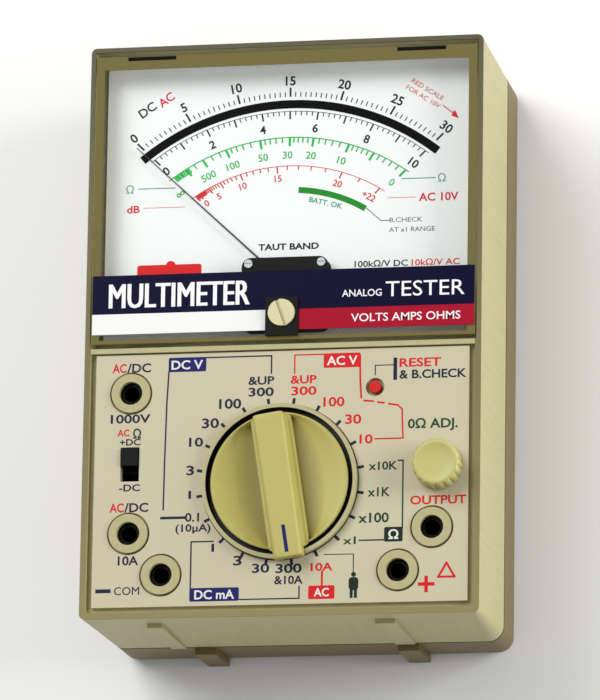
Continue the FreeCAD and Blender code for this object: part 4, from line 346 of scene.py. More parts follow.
# Each word: text, centre, width, height of capitals, ink.
panel_words = (
    ("AC", -42.8, -10.0, 3.7, 2.4, "red"), ("/DC", -37.6, -10.0, 6.3, 2.4, "blue"),
    ("1000V", -39.6, -23.4, 10.5, 2.3, "blue"), ("AC", -41.4, -27.1, 3.2, 1.8, "red"),
    ("Ω", -37.8, -27.4, 2.1, 2.5, "green"), ("+DC", -39.6, -29.6, 5.5, 1.7, "blue"),
    ("-DC", -39.5, -41.6, 5.5, 1.8, "blue"), ("AC", -42.8, -46.8, 3.7, 2.4, "red"),
    ("/DC", -37.6, -46.8, 6.3, 2.4, "blue"), ("10A", -39.5, -60.7, 5.4, 2.4, "blue"),
    ("COM", -39.7, -68.6, 6.6, 2.2, "blue"), ("&UP", -5.3, -14.2, 6.8, 2.2, "blue"),
    ("300", -5.3, -17.2, 6.6, 2.3, "blue"), ("&UP", 5.8, -14.2, 6.8, 2.2, "red"),
    ("300", 5.9, -17.2, 6.6, 2.3, "red"), ("100", -13.4, -20.1, 5.8, 2.6, "blue"),
    ("30", -18.5, -25.1, 4.5, 2.6, "blue"), ("10", -22.2, -30.0, 3.7, 2.4, "blue"),
    ("3", -23.6, -37.4, 2.0, 2.5, "blue"), ("1", -23.6, -43.8, 0.7, 2.1, "blue"),
    ("0.1", -22.9, -49.7, 3.7, 2.3, "blue"), ("(10µA)", -22.6, -52.5, 9.2, 2.0, "blue"),
    ("1", -17.3, -57.8, 0.7, 2.1, "blue"), ("3", -10.8, -61.3, 2.2, 2.5, "blue"),
    ("30", -4.7, -63.4, 4.5, 2.4, "blue"), ("300", 2.6, -63.6, 6.8, 2.4, "blue"),
    ("&10A", 2.6, -66.6, 7.4, 2.2, "blue"), ("100", 13.8, -20.3, 5.5, 2.5, "red"),
    ("30", 18.9, -25.0, 4.2, 2.5, "red"), ("10", 22.3, -30.3, 3.4, 2.4, "red"),
    ("x10K", 26.8, -37.4, 7.4, 2.2, "green"), ("x1K", 25.8, -44.2, 5.8, 2.4, "green"),
    ("x100", 24.5, -50.9, 7.9, 2.6, "green"), ("x1", 18.3, -56.7, 3.3, 2.0, "green"),
    ("10A", 11.2, -63.4, 5.7, 2.1, "red"), ("OUTPUT", 41.2, -46.6, 14.5, 2.3, "red"),
    ("0Ω ADJ.", 39.6, -26.6, 12.9, 2.5, "green"), ("RESET", 36.2, -10.5, 10.8, 2.3, "red"),
    ("& B.CHECK", 39.5, -13.6, 17.4, 2.3, "blue"), ("DC V", -24.9, -9.5, 8.3, 2.4, "pale"),
    ("AC V", 15.8, -9.5, 8.0, 2.4, "pale"), ("DC mA", -16.7, -70.0, 10.4, 2.4, "pale"),
    ("AC", 11.2, -70.0, 3.9, 2.2, "pale"), ("Ω", 29.7, -55.4, 2.6, 2.4, "pale"),
)
panel_films = {colour: [] for colour in inks}
# The letters are a little bold, but an M's outline tears when it is pushed out.
bold = 0.02
for text, x, y, width, height, colour in panel_words:
    panel_films[colour].append(word(text, x, y, width, height, weight=0.0 if "M" in text else bold))
# Each line: ink, width and the points it bends at.
for colour, width, points in (
        ("blue", 0.36, [(-20.0, -7.8), (-2.7, -7.8), (-2.7, -12.4)]),
        ("blue", 0.38, [(-29.7, -11.3), (-30.1, -19.7), (-30.4, -35.5), (-30.5, -47.6)]),
        ("blue", 0.68, [(-30.9, -49.8), (-24.8, -49.8)]),
        ("blue", 1.0, [(-47.4, -68.6), (-44.4, -68.6)]),
        ("blue", 0.36, [(-23.0, -68.4), (-23.0, -56.2), (-17.3, -56.2)]),
        ("blue", 0.34, [(-10.3, -71.5), (5.4, -71.5), (5.4, -68.4)]),
        ("blue", 0.95, [(29.7, -9.7), (29.7, -14.6)]),
        ("blue", 0.26, [(29.7, -11.1), (24.5, -11.1), (24.5, -13.6)]),
        ("blue", 0.22, [(11.8, -60.3), (19.4, -60.3), (19.4, -65.0)]),
        ("red", 0.34, [(11.1, -7.8), (3.4, -7.8), (3.4, -12.6)]),
        ("red", 0.46, [(20.5, -8.4), (20.6, -14.5), (20.9, -19.5)]),
        ("red", 0.46, [(21.7, -20.3), (24.0, -20.5)]),
        ("red", 0.46, [(25.3, -20.8), (26.8, -21.0)]),
        ("red", 0.46, [(28.2, -21.3), (30.5, -21.7)]),
        ("red", 0.38, [(30.5, -21.7), (31.6, -22.8), (31.9, -30.4), (24.6, -30.4)]),
        ("red", 0.5, [(11.3, -64.8), (11.3, -68.2)]),
        ("red", 0.9, [(36.6, -68.5), (40.0, -68.5)]), ("red", 0.9, [(38.3, -66.8), (38.3, -70.2)]),
        ("red", 0.55, [(41.4, -66.7), (43.5, -63.1), (45.6, -66.7), (41.4, -66.7)]),
        ("green", 0.38, [(30.8, -36.2), (32.0, -36.2), (32.0, -53.7)]),
        ("green", 0.38, [(27.4, -56.8), (20.9, -56.8)])):
    panel_films[colour] += stroke(points, width)
# Each box behind a pale word: ink, left, low, right and high.
for colour, box in (("deep_blue", (-29.8, -11.4, -19.9, -7.6)),
                    ("deep_blue", (-23.2, -71.8, -10.3, -68.3)),
                    ("red", (11.0, -11.4, 20.6, -7.6)), ("red", (7.8, -71.8, 14.6, -68.3)),
                    ("deep_green", (27.3, -57.3, 32.1, -53.5))):
    panel_films[colour].append(tile(*box))
# The dark mark in the lower row is a plain standing figure: a disc over a coat and two legs.
figure_x, figure_y = 19.5, -68.6
head_r, coat_half, leg_x, leg_width = 0.62, 1.25, 0.55, 0.75
panel_films["deep_green"] += [
    arc(figure_x, figure_y + 3.0, 0.0, head_r, 0, 360, 20),
    tile(figure_x - coat_half, figure_y - 1.1, figure_x + coat_half, figure_y + 2.3, 0.9),
    bar(figure_x - leg_x, figure_y - 3.1, figure_x - leg_x, figure_y, leg_width),
    bar(figure_x + leg_x, figure_y - 3.1, figure_x + leg_x, figure_y, leg_width)]
# One tick for each switch position. They start half a step from straight up, at 9 degrees.
switch_positions = 20
half_step = 180 / switch_positions
tick_near, tick_far, tick_width = 20.6, 22.1, 0.75
for i in range(switch_positions):
    angle = np.radians(half_step + i * 360 / switch_positions)
    out = np.array((np.sin(angle), np.cos(angle)))
    near, far = out * tick_near, out * tick_far
    panel_films["blue"].append(bar(near[0], near[1] + knob_y, far[0], far[1] + knob_y, tick_width))
# A hair line of dark ink runs round the hole for the range collar.
hair_inner, hair_outer = 20.32, 20.46
panel_films["blue"].append(arc(0, knob_y, hair_inner, hair_outer, 0, 360, 90))
for colour, films in panel_films.items():
    lift = ink_mm + lift_step if colour == "pale" else 0.0
    printed("panel_print_" + colour, films, panel_face + lift, "case", inks[colour])


# --- Meter cover ------------------------------------------------------------------------------
# One clear styrene moulding over the dial. Its edge is painted beige, and a printed band lies
# across its lower part with a black block for the zero screw.

# Polished styrene: see-through, and it mirrors strongly only where it is seen at a slant.
clear = bpy.data.materials.new("clear_styrene")
clear.use_nodes = True
tree = clear.node_tree
tree.nodes.clear()
tilt = add(tree, "LayerWeight", {"Blend": 0.5})
steep = add(tree, "Math", {0: tilt.outputs["Facing"], 1: 5.0}, operation="POWER")
edge_gloss = add(tree, "MapRange", {"Value": steep.outputs["Value"], "To Min": 0.004, "To Max": 0.6})
see_through = add(tree, "BsdfTransparent", {"Color": (0.995, 0.998, 0.995, 1.0)})
place = add(tree, "TexCoord").outputs["Object"]
ripple = add(tree, "TexNoise", {"Vector": place, "Scale": 1 / (22 * mm)})
ripples = add(tree, "Bump", {"Height": ripple.outputs["Fac"], "Strength": 0.2, "Distance": 0.05 * mm})
mirror = add(tree, "BsdfGlossy", {"Roughness": 0.06, "Normal": ripples.outputs["Normal"]})
pane = add(tree, "MixShader", {0: edge_gloss.outputs["Result"], 1: see_through.outputs["BSDF"],
                               2: mirror.outputs["BSDF"]})
add(tree, "OutputMaterial", {"Surface": pane.outputs["Shader"]})
paint(["meter_cover"], clear)

# Paint on the cover's edge: a darker beige than the case. It is laid in strips that leave the two
# snap hook slots at the upper edge open.
cover_low, cover_high = (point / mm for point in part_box("meter_cover"))
border, border_top, border_low, inset, strip_corner = 2.2, 3.6, 1.0, 0.1, 0.02
slot_in, slot_out, slot_wide = 29.3, 42.2, 1.35
left, low = cover_low.x + inset, cover_low.y + inset
right, high = cover_high.x - inset, cover_high.y - inset
under_slots = high + inset - slot_wide
edge_paint = ink("cover_edge_paint", "6f6534", 0.55)
strips = [(left, low, left + border, high), (right - border, low, right, high),
          (left + border, low, right - border, low + border_low),
          (left + border, high - border_top, right - border, under_slots),
          (left + border, under_slots, -slot_out, high), (-slot_in, under_slots, slot_in, high),
          (slot_out, under_slots, right - border, high)]
printed("cover_edge_paint", [tile(*strip, strip_corner) for strip in strips], cover_high.z, "case",
        edge_paint)

# A strip of black film under each hook slot is painted shade, so that the slot looks dark.
slot_shade_depth, slot_shade_clear = 0.8, 0.05
slot_shades = [tile(start, under_slots + slot_shade_clear, end, high - slot_shade_clear, strip_corner)
         for start, end in ((-slot_out, -slot_in), (slot_in, slot_out))]
printed("slot_painted_shade", slot_shades, cover_high.z - slot_shade_depth, "case",
        ink("slot_painted_shade", "060504", 0.9))

# The band: printed film, dark blue above, and below it white at the left and red at the right.
band_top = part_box("name_band")[1].z / mm
band_split_y = 4.2
band_film, tree, surface, place = new_finish("band_film")
axes = add(tree, "SeparateXYZ", {"Vector": place})
above = add(tree, "Math", {0: axes.outputs["Y"], 1: band_split_y * mm}, operation="GREATER_THAN")
right_side = add(tree, "Math", {0: axes.outputs["X"], 1: 0.0}, operation="GREATER_THAN")
lower = add(tree, "MixRGB", {"Fac": right_side.outputs["Value"], "Color1": linear("f4f4f0"),
                             "Color2": linear("a8102a")})
both = add(tree, "MixRGB", {"Fac": above.outputs["Value"], "Color1": lower.outputs["Color"],
                            "Color2": linear("07042c")})
patch = add(tree, "TexNoise", {"Vector": place, "Scale": 1 / (6 * mm), "Detail": 3.0})
gloss = add(tree, "MapRange", {"Value": patch.outputs["Fac"], "To Min": 0.3, "To Max": 0.42})
surface.inputs["Specular IOR Level"].default_value = 0.08
tree.links.new(both.outputs["Color"], surface.inputs["Base Color"])
tree.links.new(gloss.outputs["Result"], surface.inputs["Roughness"])
paint(["name_band"], band_film)
white_ink = ink("white_ink", "f6f6f4", 0.4)
# The large word is laid down three times, a little apart, to make its upright strokes bold.
spread = 0.2
printed("band_letters", [*[word("MULTIMETER", -27.2 + shift, 9.2, 37.0, 6.8)
                           for shift in (-spread, 0, spread)],
                         word("ANALOG", 20.9, 8.0, 10.4, 1.9, weight=0.008),
                         word("TESTER", 37.4, 8.9, 20.6, 4.2, weight=0.0),
                         word("VOLTS AMPS OHMS", 32.4, 1.5, 28.5, 2.2, weight=0.006)],
        band_top, "case", white_ink)


# --- Dial -------------------------------------------------------------------------------------
# A white printed aluminium plate under the cover, with a curved mirror strip. All scales are
# struck from one centre, and their strokes point at the pointer's pivot.
dial_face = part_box("dial_plate")[1].z / mm
pivot_y = 12.3
scale_centre_y = -1.4
sweep = 46.0  # degrees from straight up to the first and the last mark, seen from the pivot
volts_r, tens_r, ohms_r, decibels_r = 64.2, 60.2, 53.2, 45.6

# Printed aluminium: matt white stoved enamel, a trace of green in its shadows.
paint(["dial_plate"], moulded("dial_enamel", "fbfcfb", "f7faf8", 0.55, 14.0, 0.4, 0.004)[0])
dial_inks = {"black": ink("dial_black_ink", "101312"), "green": ink("dial_green_ink", "18b54a"),
             "red": ink("dial_red_ink", "d8202c"), "teal": ink("dial_teal_ink", "3c9d86"),
             "strong_green": ink("dial_strong_green_ink", "0b8a1a"),
             "strong_red": ink("dial_strong_red_ink", "e2100e"),
             "grey": ink("dial_grey_ink", "5c6464")}
dial_films = {colour: [] for colour in dial_inks}


def on_arc(pointer_angle, radius):
    """Where the ray from the pivot, at an angle clockwise from straight up, meets the circle of
    this radius about the scales' centre: the positive root of a quadratic in the ray's length."""
    ray = np.array((np.sin(np.radians(pointer_angle)), np.cos(np.radians(pointer_angle))))
    rise = pivot_y - scale_centre_y
    reach = -rise * ray[1] + np.sqrt((rise * ray[1]) ** 2 + radius ** 2 - rise ** 2)
    return ray * reach + (0, pivot_y)


def marks(colour, angles, near, far, width):
    """One stroke for each pointer angle, between two circles about the scales' centre."""
    for angle in angles:
        start, end = on_arc(angle, near), on_arc(angle, far)
        dial_films[colour].append(bar(*start, *end, width))


def numerals(colour, names_angles, radius, height, weight=0.01):
    """Numbers round the scales' centre, each turned to stand on its own radius."""
    for text, angle in names_angles:
        x = radius * np.sin(np.radians(angle))
        y = radius * np.cos(np.radians(angle)) + scale_centre_y
        dial_films[colour].append(word(text, x, y, 0, height, -angle, weight))


# Volts and amps: sixty even parts, with every tenth stroke long.
share = np.linspace(0, 1, 61)
long_marks = np.arange(61) % 10 == 0
marks("black", (2 * share[~long_marks] - 1) * sweep, volts_r, 65.5, 0.26)
marks("black", (2 * share[long_marks] - 1) * sweep, volts_r, 66.7, 0.5)
numerals("black", zip("0 5 10 15 20 25 30".split(), (-37.4, -24.5, -12.1, 0, 12.1, 24.5, 37.2)),
         68.6, 2.5, 0.02)
# Nought to ten: fifty even parts under the strip, with every fifth stroke long.
share = np.linspace(0, 1, 51)
marks("black", (2 * share - 1) * sweep, tens_r, 59.2, 0.26)
marks("black", (2 * share[::5] - 1) * sweep, tens_r, 58.2, 0.42)
numerals("black", zip("0 2 4 6 8 10".split(), (-35.9, -21.6, -7.4, 6.9, 21.4, 36.0)), 56.0, 2.3, 0.02)
dial_films["black"].append(arc(0, scale_centre_y, tens_r, 60.36, -37.6, 37.6))

# Ohms: the pointer falls from full swing by the share R / (R + the ohms at mid scale).
mid_ohms = 30.0
ohms = np.array([*range(0, 10), *range(10, 30, 2), *range(30, 50, 4), *range(50, 100, 10), 100, 120,
                 150, 200, 300, 500, 1000, 2500, 9000])
long_ohms = np.array([0, 5, 10, 20, 30, 50, 100, 200, 500])
marks("green", sweep - 2 * sweep * ohms / (ohms + mid_ohms), ohms_r, 51.8, 0.36)
marks("green", sweep - 2 * sweep * long_ohms / (long_ohms + mid_ohms), ohms_r, 50.9, 0.6)
marks("green", np.linspace(-45.8, -40.0, 9), ohms_r, 51.6, 0.42)
dial_films["green"].append(arc(0, scale_centre_y, 53.1, 53.4, -36.8, 36.4))
numerals("green", (("∞", -36.5), ("500", -26.2), ("100", -18.0), ("50", -8.3), ("30", -0.6),
                   ("20", 6.7), ("10", 16.5), ("0", 34.0)), 48.6, 2.0, 0.012)
dial_films["teal"] += [word("Ω", -42.4, 39.3, 2.0, 2.2), bar(-40.2, 39.3, -30.2, 39.3, 0.25),
                       word("Ω", 40.3, 39.7, 2.0, 2.2), bar(29.7, 39.7, 38.6, 39.7, 0.25)]

# Decibels, -20 to 22: no decibels is 0.775 V, a 0.0775 share of the ten volts at full swing.
zero_db_share = 0.0775
db_angles = -sweep + 2 * sweep * (zero_db_share * 10 ** (np.arange(-20, 23) / 20.0))
marks("red", db_angles, decibels_r, 44.5, 0.3)
marks("red", db_angles[[0, 10, 20, 25, 30, 35, 40, 42]], decibels_r, 43.8, 0.36)
marks("red", np.linspace(-45.4, -41.5, 6), decibels_r, 44.2, 0.36)
dial_films["red"].append(arc(0, scale_centre_y, 45.5, 45.7, -34.8, 33.6))
numerals("red", (("0", -31.0), ("5", -26.0), ("10", -16.8), ("15", -4.0), ("20", 17.6),
                 ("+22", 29.9)), 42.4, 1.8, 0.015)
dial_films["red"] += [word("dB", -41.4, 33.9, 3.4, 2.0, weight=0.02),
                      word("AC 10V", 39.5, 34.7, 10.4, 2.2, weight=0.02),
                      bar(-38.6, 34.1, -27.6, 34.1, 0.14), bar(26.0, 34.7, 33.4, 34.7, 0.14),
                      word("AC", -33.2, 63.3, 4.4, 2.4, 35, 0.015),
                      word("RED SCALE", 36.4, 63.5, 9.8, 1.3, -33),
                      word("FOR AC 10V", 35.2, 61.6, 10.4, 1.3, -33),
                      bar(40.4, 59.1, 43.4, 56.5, 0.25),
                      outline((42.3, 58.4), (44.6, 55.4), (43.3, 56.7)),
                      outline((42.6, 56.2), (44.6, 55.4), (43.6, 57.7))]
dial_films["black"] += [word("DC", -38.2, 60.7, 4.8, 2.5, 35, 0.015),
                        word("TAUT BAND", 0.1, 22.6, 16.0, 1.7, weight=0.03),
                        word("100kΩ/V DC", 24.6, 17.3, 14.0, 1.7, weight=0.012)]
dial_films["strong_red"] += [word("10kΩ/V AC", 38.9, 17.3, 12.6, 1.7, weight=0.012),
                             tile(-40.0, 13.0, -22.9, 18.7, 0.6),
                             arc(-31.1, 18.4, 0, 1.3, -90, 90, 16)]
dial_films["strong_green"].append(arc(0, scale_centre_y, 38.3, 39.9, 3.7, 31.2))
dial_films["teal"].append(word("BATT. OK", 9.8, 34.0, 9.0, 1.4, -14, 0.02))
dial_films["grey"] += [*stroke([(20.6, 32.1), (24.4, 28.7), (26.6, 28.7)], 0.22),
                       word("B.CHECK", 31.0, 28.8, 8.6, 1.3),
                       word("AT x1 RANGE", 32.6, 26.2, 12.0, 1.3)]
for colour, films in dial_films.items():
    printed("dial_print_" + colour, films, dial_face, "case", dial_inks[colour])

# Dark foil strip: near black, with a weak and soft gloss.
foil, tree, surface, place = new_finish("dark_mirror_foil")
rub = add(tree, "TexNoise", {"Vector": place, "Scale": 1 / (3 * mm), "Detail": 3.0})
gloss = add(tree, "MapRange", {"Value": rub.outputs["Fac"], "To Min": 0.42, "To Max": 0.5})
tree.links.new(gloss.outputs["Result"], surface.inputs["Roughness"])
surface.inputs["Base Color"].default_value = linear("050606")
surface.inputs["Specular IOR Level"].default_value = 0.05
paint(["mirror_strip"], foil)

# Black ABS, smooth mould: low gloss, near black.
black_abs, _, surface, _ = moulded("black_abs", "070707", "0c0c0b", 0.5, 4.0, 0.3, 0.01)
surface.inputs["Specular IOR Level"].default_value = 0.15
paint(["movement_cap", "adjuster_block", "polarity_slider", "polarity_switch_body",
       "reset_switch_body"], black_abs)
# Blackened aluminium: the pointer's thin matt paint.
paint(["pointer"], moulded("pointer_paint", "26282a", "303234", 0.6, 2.0, 0.2, 0.003)[0])


# --- Zero screw -------------------------------------------------------------------------------
# A cream plastic screw with one slot, held in the black block on the cover.

# Cream plastic from a smooth mould: satin.
paint(["zero_adjust_screw"], moulded("cream_plastic", "dad3a6", "d0c998", 0.38, 3.0, 0.3, 0.008)[0])


# --- Range knob -------------------------------------------------------------------------------
# A moulded disc whose two halves are scooped towards a raised grip bar; the bar's nose reaches
# over the collar and carries a printed blue line.
def skin(name, loops, body, material, sharp=35.0):
    """A closed solid through stacked loops: neighbouring points of neighbouring loops make faces,
    and one face closes each end. Normals are made to point outwards on the finished shell."""
    loops = np.asarray(loops, float)
    rows, count = loops.shape[:2]
    index = np.arange(rows * count).reshape(rows, count)
    nxt = np.roll(index, -1, 1)
    quads = np.stack([index[:-1], nxt[:-1], nxt[1:], index[1:]], -1).reshape(-1, 4)
    mesh = bpy.data.meshes.new(name)
    mesh.from_pydata(loops.reshape(-1, 3) * mm, [],
                     quads.tolist() + [index[0, ::-1].tolist(), index[-1].tolist()])
    shell = bmesh.new()
    shell.from_mesh(mesh)
    bmesh.ops.remove_doubles(shell, verts=shell.verts, dist=1e-7)
    bmesh.ops.recalc_face_normals(shell, faces=shell.faces)
    shell.to_mesh(mesh)
    shell.free()
    mesh.shade_smooth()
    mesh.set_sharp_from_angle(angle=np.radians(sharp))
    mesh.materials.append(material)
    made = put(name, mesh)
    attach(made, body)
    return made


bar_top = (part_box("range_knob")[1] / mm).z
disc_r, disc_rim, disc_low = 18.1, 58.7, 56.4
knob_turn = np.radians(half_step)
scoop = 2.1
# Half widths of the bar: at its foot, and at its top by the tail and by the nose.
bar_foot, bar_tail, bar_nose = 5.2, 3.8, 3.5
ledge, ledge_z = 0.75, 58.5
tail_end, nose_end, nose_base = -17.3, 20.8, 59.5
valley_low, valley_high = 56.6, 57.5
wall_depth, wall_clear = 0.12, 0.3

# ABS, satin: yellower than the case. Painted shade darkens the valleys low down, and the disc's wall
# is painted black as shade.
knob_abs, tree, surface, tint = moulded("knob_abs", "bdb461", "b5ab5a", 0.45, 7.0, 0.35, 0.012)
place = tree.nodes["Texture Coordinate"].outputs["Object"]
above_table = add(tree, "SeparateXYZ", {"Vector": place}).outputs["Z"]
# Painted shade: the knob darkens towards 64500f as the surface falls into the valleys.
in_valley = add(tree, "MapRange", {"Value": above_table, "From Min": valley_low * mm,
                                   "From Max": valley_high * mm, "To Min": 0.6, "To Max": 0.0})
valley_painted_shade = add(tree, "MixRGB", {"Fac": in_valley.outputs["Result"], "Color1": tint.outputs["Color"],
                              "Color2": linear("64500f")})
# Painted shade: the disc's outer wall below its rim is painted black.
outer = add(tree, "Math", {0: from_axis(tree, place), 1: (disc_r - wall_depth) * mm},
            operation="GREATER_THAN")
under_rim = add(tree, "Math", {0: above_table, 1: (disc_rim - wall_clear) * mm},
                operation="LESS_THAN")
on_wall = add(tree, "Math", {0: outer.outputs["Value"], 1: under_rim.outputs["Value"]},
              operation="MULTIPLY")
wall_painted_shade = add(tree, "MixRGB", {"Fac": on_wall.outputs["Value"], "Color1": valley_painted_shade.outputs["Color"],
                             "Color2": painted_shade_black})
tree.links.new(wall_painted_shade.outputs["Color"], surface.inputs["Base Color"])


def knob_frame(across, along, z):
    """Turns (across, along) about the knob's axis, so that the nose points down and 9 degrees to
    the right, and moves it to the knob's place."""
    x = across * np.cos(knob_turn) + along * np.sin(knob_turn)
    y = across * np.sin(knob_turn) - along * np.cos(knob_turn)
    return np.stack([x, y + knob_y, z + 0 * x], -1)


# The disc: rings from under the rim, over the rounded edge and inwards. A ring point's height is
# the rim's less the scoop, which deepens from nothing at the rim to full beside the bar.
around = np.linspace(0, 2 * np.pi, 144, endpoint=False)
edge = np.radians(np.linspace(0, 90, 6))
edge_r = 0.5
rings = [(disc_r - 0.3, disc_low), (disc_r, disc_low + 0.3)]
rings += [(disc_r - edge_r + edge_r * np.cos(a), disc_rim - edge_r + edge_r * np.sin(a))
          for a in edge]
disc = []
for radius, height in rings:
    disc.append(knob_frame(radius * np.sin(around), radius * np.cos(around), height))
for radius in np.linspace(disc_r - edge_r, 0.2, 34)[1:]:
    across, along = radius * np.sin(around), radius * np.cos(around)
    chord = np.sqrt(np.maximum((disc_r - edge_r) ** 2 - along ** 2, 0.01))
    inward = np.clip((chord - np.abs(across)) / np.maximum(chord - bar_foot, 0.3), 0, 1)
    fall = scoop * np.sin(inward * np.pi / 2) ** 1.4
    disc.append(knob_frame(across, along, disc_rim - fall))
knob_disc = skin("knob_disc", disc, "range_switch", knob_abs, 50.0)

# The bar: one cross-section carried from tail to nose. It narrows to the nose, its flanks lean in
# and its two upper edges are rounded by quarter circles.
stations = np.concatenate([tail_end + np.array([0, 0.1, 0.4]),
                           np.linspace(tail_end + 0.9, nose_end - 0.6, 40),
                           nose_end - np.array([0.2, 0.05, 0])])
shrink = np.concatenate([[0.82, 0.93, 0.98], np.ones(40), [0.98, 0.94, 0.86]])
round_r = 0.7
disc_reach = 17.4  # the bar stands on the disc up to here, and beyond it the nose hangs free
end_drop, flank_lean, nose_flare = 1.6, 0.25, 0.45
corner = np.radians(np.linspace(0, 90, 6))
bar_loops = []
for at, keep in zip(stations, shrink):
    share_along = (at - tail_end) / (nose_end - tail_end)
    top_half = (bar_tail + (bar_nose - bar_tail) * share_along) * keep
    height = bar_top - (1 - keep) * end_drop
    if abs(at) < disc_reach:
        foot_half = bar_foot * keep
        right = [(foot_half + 0.15, disc_low + 0.2), (foot_half + 0.1, ledge_z - 0.3),
                 (foot_half - 0.1, ledge_z), (foot_half - ledge, ledge_z + 0.1)]
    else:
        foot_half = top_half + nose_flare
        right = [(foot_half, nose_base), (foot_half, nose_base + 0.05), (foot_half, nose_base + 0.1),
                 (foot_half, nose_base + 0.15)]
    right += [(top_half - round_r + round_r * np.cos(a) + flank_lean * (1 - np.sin(a)),
               height - round_r + round_r * np.sin(a)) for a in corner]
    section = right + [(-x, z) for x, z in right[::-1]]
    xs, zs = np.array(section).T
    bar_loops.append(knob_frame(xs, np.full(len(xs), at), zs))
knob_bar = skin("knob_bar", bar_loops, "range_switch", knob_abs, 40.0)
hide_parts("range_knob")
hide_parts("range_knob")

# The blue line near the nose: its film starts a hair under the bar's top and stands proud of it.
mark_from, mark_to, mark_width, mark_sunk = 12.4, 19.6, 0.95, 0.005
mark = bar(0, mark_from, 0, mark_to, mark_width)[0]
mark_points = knob_frame(-mark[:, 0], mark[:, 1], np.zeros(4))[:, :2]
printed("knob_mark", [(mark_points, [(0, 1, 2, 3)])], bar_top - mark_sunk, "range_switch",
        inks["deep_blue"])


# --- Ohm adjust knob --------------------------------------------------------------------------
# A small moulded knob with rounded flutes, pushed on the potentiometer's shaft.
ohm_low, ohm_high = (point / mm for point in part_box("ohm_adjust_knob"))
ohm_x, ohm_y = (ohm_low.x + ohm_high.x) / 2, (ohm_low.y + ohm_high.y) / 2
ohm_r = (ohm_high.x - ohm_low.x) / 2
flutes, flute_depth, profile_top = 18, 0.9, 5.42
around = np.linspace(0, 2 * np.pi, flutes * 12, endpoint=False)
flute = 0.5 - 0.5 * np.abs(np.cos(around * flutes / 2)) ** 0.7
# The side view: share of the radius, height on a knob profile_top high, share of flute_depth.
profile = [(0.96, 0.0, 1.0), (1.0, 0.25, 1.0), (1.0, 4.3, 1.0), (0.985, 4.75, 0.85), (0.95, 5.1, 0.6),
           (0.9, 5.32, 0.25), (0.84, profile_top, 0.0), (0.78, 5.4, 0.0), (0.72, 5.25, 0.0),
           (0.4, 5.1, 0.0),
           (0.05, 5.05, 0.0)]
tall = (ohm_high.z - ohm_low.z) / profile_top
ohm_loops = []
for radius, height, depth in profile:
    r = ohm_r * radius - flute_depth * flute * depth
    ohm_loops.append(np.stack([ohm_x + r * np.cos(around), ohm_y + r * np.sin(around),
                               np.full(len(r), ohm_low.z + height * tall)], -1))
# ABS, satin: a paler beige than the range knob.
ohm_abs = moulded("ohm_knob_abs", "c3bd74", "bab36a", 0.42, 4.0, 0.3, 0.012)[0]
ohm_knob = skin("ohm_knob", ohm_loops, "ohm_adjust_unit", ohm_abs, 50.0)
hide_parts("ohm_adjust_knob")


# --- Reset button -----------------------------------------------------------------------------
# A red plastic rod with a domed end, sprung from below, standing in a hole of the plate.

# Red plastic from a polished mould: glossy.
paint(["reset_button"], moulded("red_plastic", "d4070c", "c80509", 0.22, 3.0, 0.4, 0.002)[0])


# --- Sockets and metal inside -----------------------------------------------------------------
# Turned, pressed and plated metal parts, most of them hidden in the case.
def metal(name, colour, roughness, grain_mm=0.6):
    """Bare or plated metal: fine scratches vary its gloss, and a faint cloud its colour."""
    material, tree, surface, place = new_finish(name)
    scratch = add(tree, "TexNoise", {"Vector": place, "Scale": 1 / (grain_mm * mm), "Detail": 5.0})
    gloss = add(tree, "MapRange", {"Value": scratch.outputs["Fac"], "To Min": roughness * 0.7,
                                   "To Max": roughness * 1.3})
    body = np.array(linear(colour))
    tint = add(tree, "MixRGB", {"Fac": scratch.outputs["Fac"], "Color1": tuple(body * 0.92),
                                "Color2": tuple(np.minimum(body * 1.05, 1.0))})
    relief = add(tree, "Bump", {"Height": scratch.outputs["Fac"], "Strength": 0.3,
                                "Distance": 0.004 * mm})
    tree.links.new(tint.outputs["Color"], surface.inputs["Base Color"])
    tree.links.new(gloss.outputs["Result"], surface.inputs["Roughness"])
    tree.links.new(relief.outputs["Normal"], surface.inputs["Normal"])
    surface.inputs["Metallic"].default_value = 1.0
    return material


# The sockets' brass is painted near black to stand in for the shade deep in the holes, so the holes
# look dark.
paint([f"jack_socket_{i}" for i in range(1, 6)], metal("socket_painted_shade_black", "1b1916", 0.5))
paint(["jack_nuts", "potentiometer_nut", "fuse_clips", "battery_contacts"],
      metal("nickel_plate", "c9c4b8", 0.28))
paint(["case_screws", "cap_screws", "movement_screws", "board_screws", "switch_shaft",
       "potentiometer_body"], metal("zinc_plate", "a9adb0", 0.38))
paint(["core_keys", "balance_weights", "front_bridge", "rear_bridge", "zero_lever"],
      metal("turned_brass", "c8a35a", 0.32))
paint(["movement_frame", "coil_hubs", "potentiometer_shaft"],
      metal("turned_aluminium", "c6c8ca", 0.36))
paint(["yoke_ring"], metal("soft_iron", "8f9092", 0.42))
paint(["core_magnet"], metal("ground_magnet", "5d5e62", 0.35))
paint(["taut_bands", "tension_spring", "wiper_contacts"], metal("phosphor_bronze", "b98a52", 0.3))
spring_steel = metal("spring_steel", "8b8e93", 0.3)
paint(["shaft_clip", "detent_balls", "detent_springs"], spring_steel)
paint(["shunt_bar"], metal("copper_bar", "b87348", 0.4))


# --- Reset spring -----------------------------------------------------------------------------
# A coil of spring steel wire under the reset button.
coils = bmesh.new()
coils.from_mesh(nodes["reset_spring"].data)
bmesh.ops.remove_doubles(coils, verts=coils.verts, dist=1e-6)
coil_mesh = bpy.data.meshes.new("reset_coils")
coils.to_mesh(coil_mesh)
coils.free()
coil_mesh.materials.clear()
coil_mesh.materials.append(spring_steel)
reset_coils = put("reset_coils", coil_mesh)
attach(reset_coils, "case")
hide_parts("reset_spring")
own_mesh(reset_coils)


# --- Electrical parts -------------------------------------------------------------------------
# The circuit board with its parts, the battery cells and the switch's plastic parts.

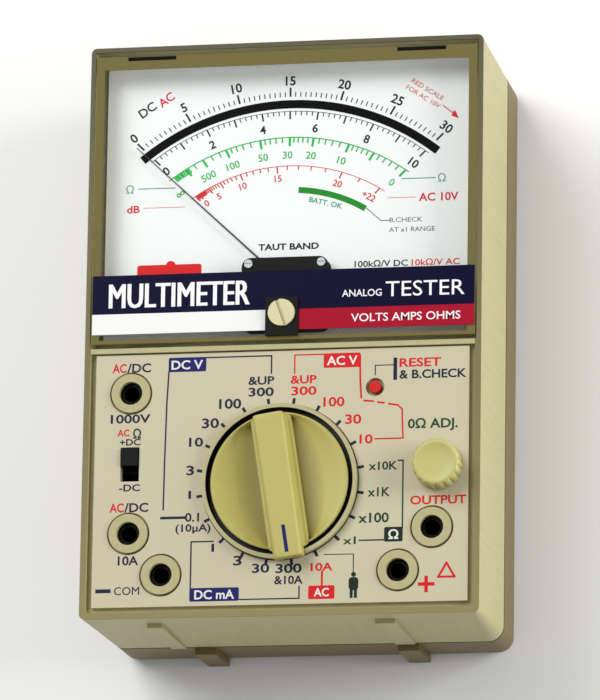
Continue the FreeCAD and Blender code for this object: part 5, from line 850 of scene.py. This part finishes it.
# Natural acetal: waxy off-white, slightly see-through at thin edges.
paint(["switch_rotor", "detent_ring"], moulded("acetal", "e6e3d4", "dedac8", 0.45)[0])
# Glass epoxy under green solder resist; the weave shows as a fine chequer.
board, tree, surface, tint = moulded("green_laminate", "1c5b34", "17502c", 0.35, 5.0, 0.5, 0.01)
place = tree.nodes["Texture Coordinate"].outputs["Object"]
weave = add(tree, "TexChecker", {"Vector": place, "Scale": 1 / (0.6 * mm), "Color1": linear("1f6338"),
                                 "Color2": linear("19552f")})
woven = add(tree, "MixRGB", {"Fac": 0.5, "Color1": tint.outputs["Color"],
                             "Color2": weave.outputs["Color"]})
tree.links.new(woven.outputs["Color"], surface.inputs["Base Color"])
paint(["circuit_board"], board)
paint(["protection_relay"], moulded("relay_cover", "22345c", "1c2c50", 0.3)[0])
# Enamelled copper wire: turns about 0.13 mm apart lie side by side round the coil. A wave repeats
# every 0.31 of its scale's length.
wire = metal("enamelled_wire", "a4552a", 0.3)
tree = wire.node_tree
turns = add(tree, "TexWave", {"Vector": tree.nodes["Texture Coordinate"].outputs["Object"],
                              "Scale": 1 / (0.4 * mm)}, bands_direction="Z")
relief = tree.nodes["Bump"]
tree.links.new(turns.outputs["Fac"], relief.inputs["Height"])
paint(["moving_coil"], wire)
# Borosilicate tube with plated ends: clear, smooth, index 1.47.
tube, tree, surface, place = new_finish("fuse_glass")
drawn = add(tree, "TexNoise", {"Vector": place, "Scale": 1 / (2 * mm)})
gloss = add(tree, "MapRange", {"Value": drawn.outputs["Fac"], "To Min": 0.02, "To Max": 0.08})
tree.links.new(gloss.outputs["Result"], surface.inputs["Roughness"])
surface.inputs["Base Color"].default_value = linear("dfe8e6")
surface.inputs["Transmission Weight"].default_value = 0.8
surface.inputs["IOR"].default_value = 1.47
paint(["fuse"], tube)
# Epoxy-dipped resistors with a plain pale blue coat.
paint(["precision_resistors"], moulded("resistor_coat", "3f6f96", "376489", 0.32, 2.0)[0])
# Plain printed sleeves on the cells.
paint(["aa_cells", "battery_9v"], moulded("cell_sleeve", "3a3c40", "33353a", 0.35, 6.0)[0])
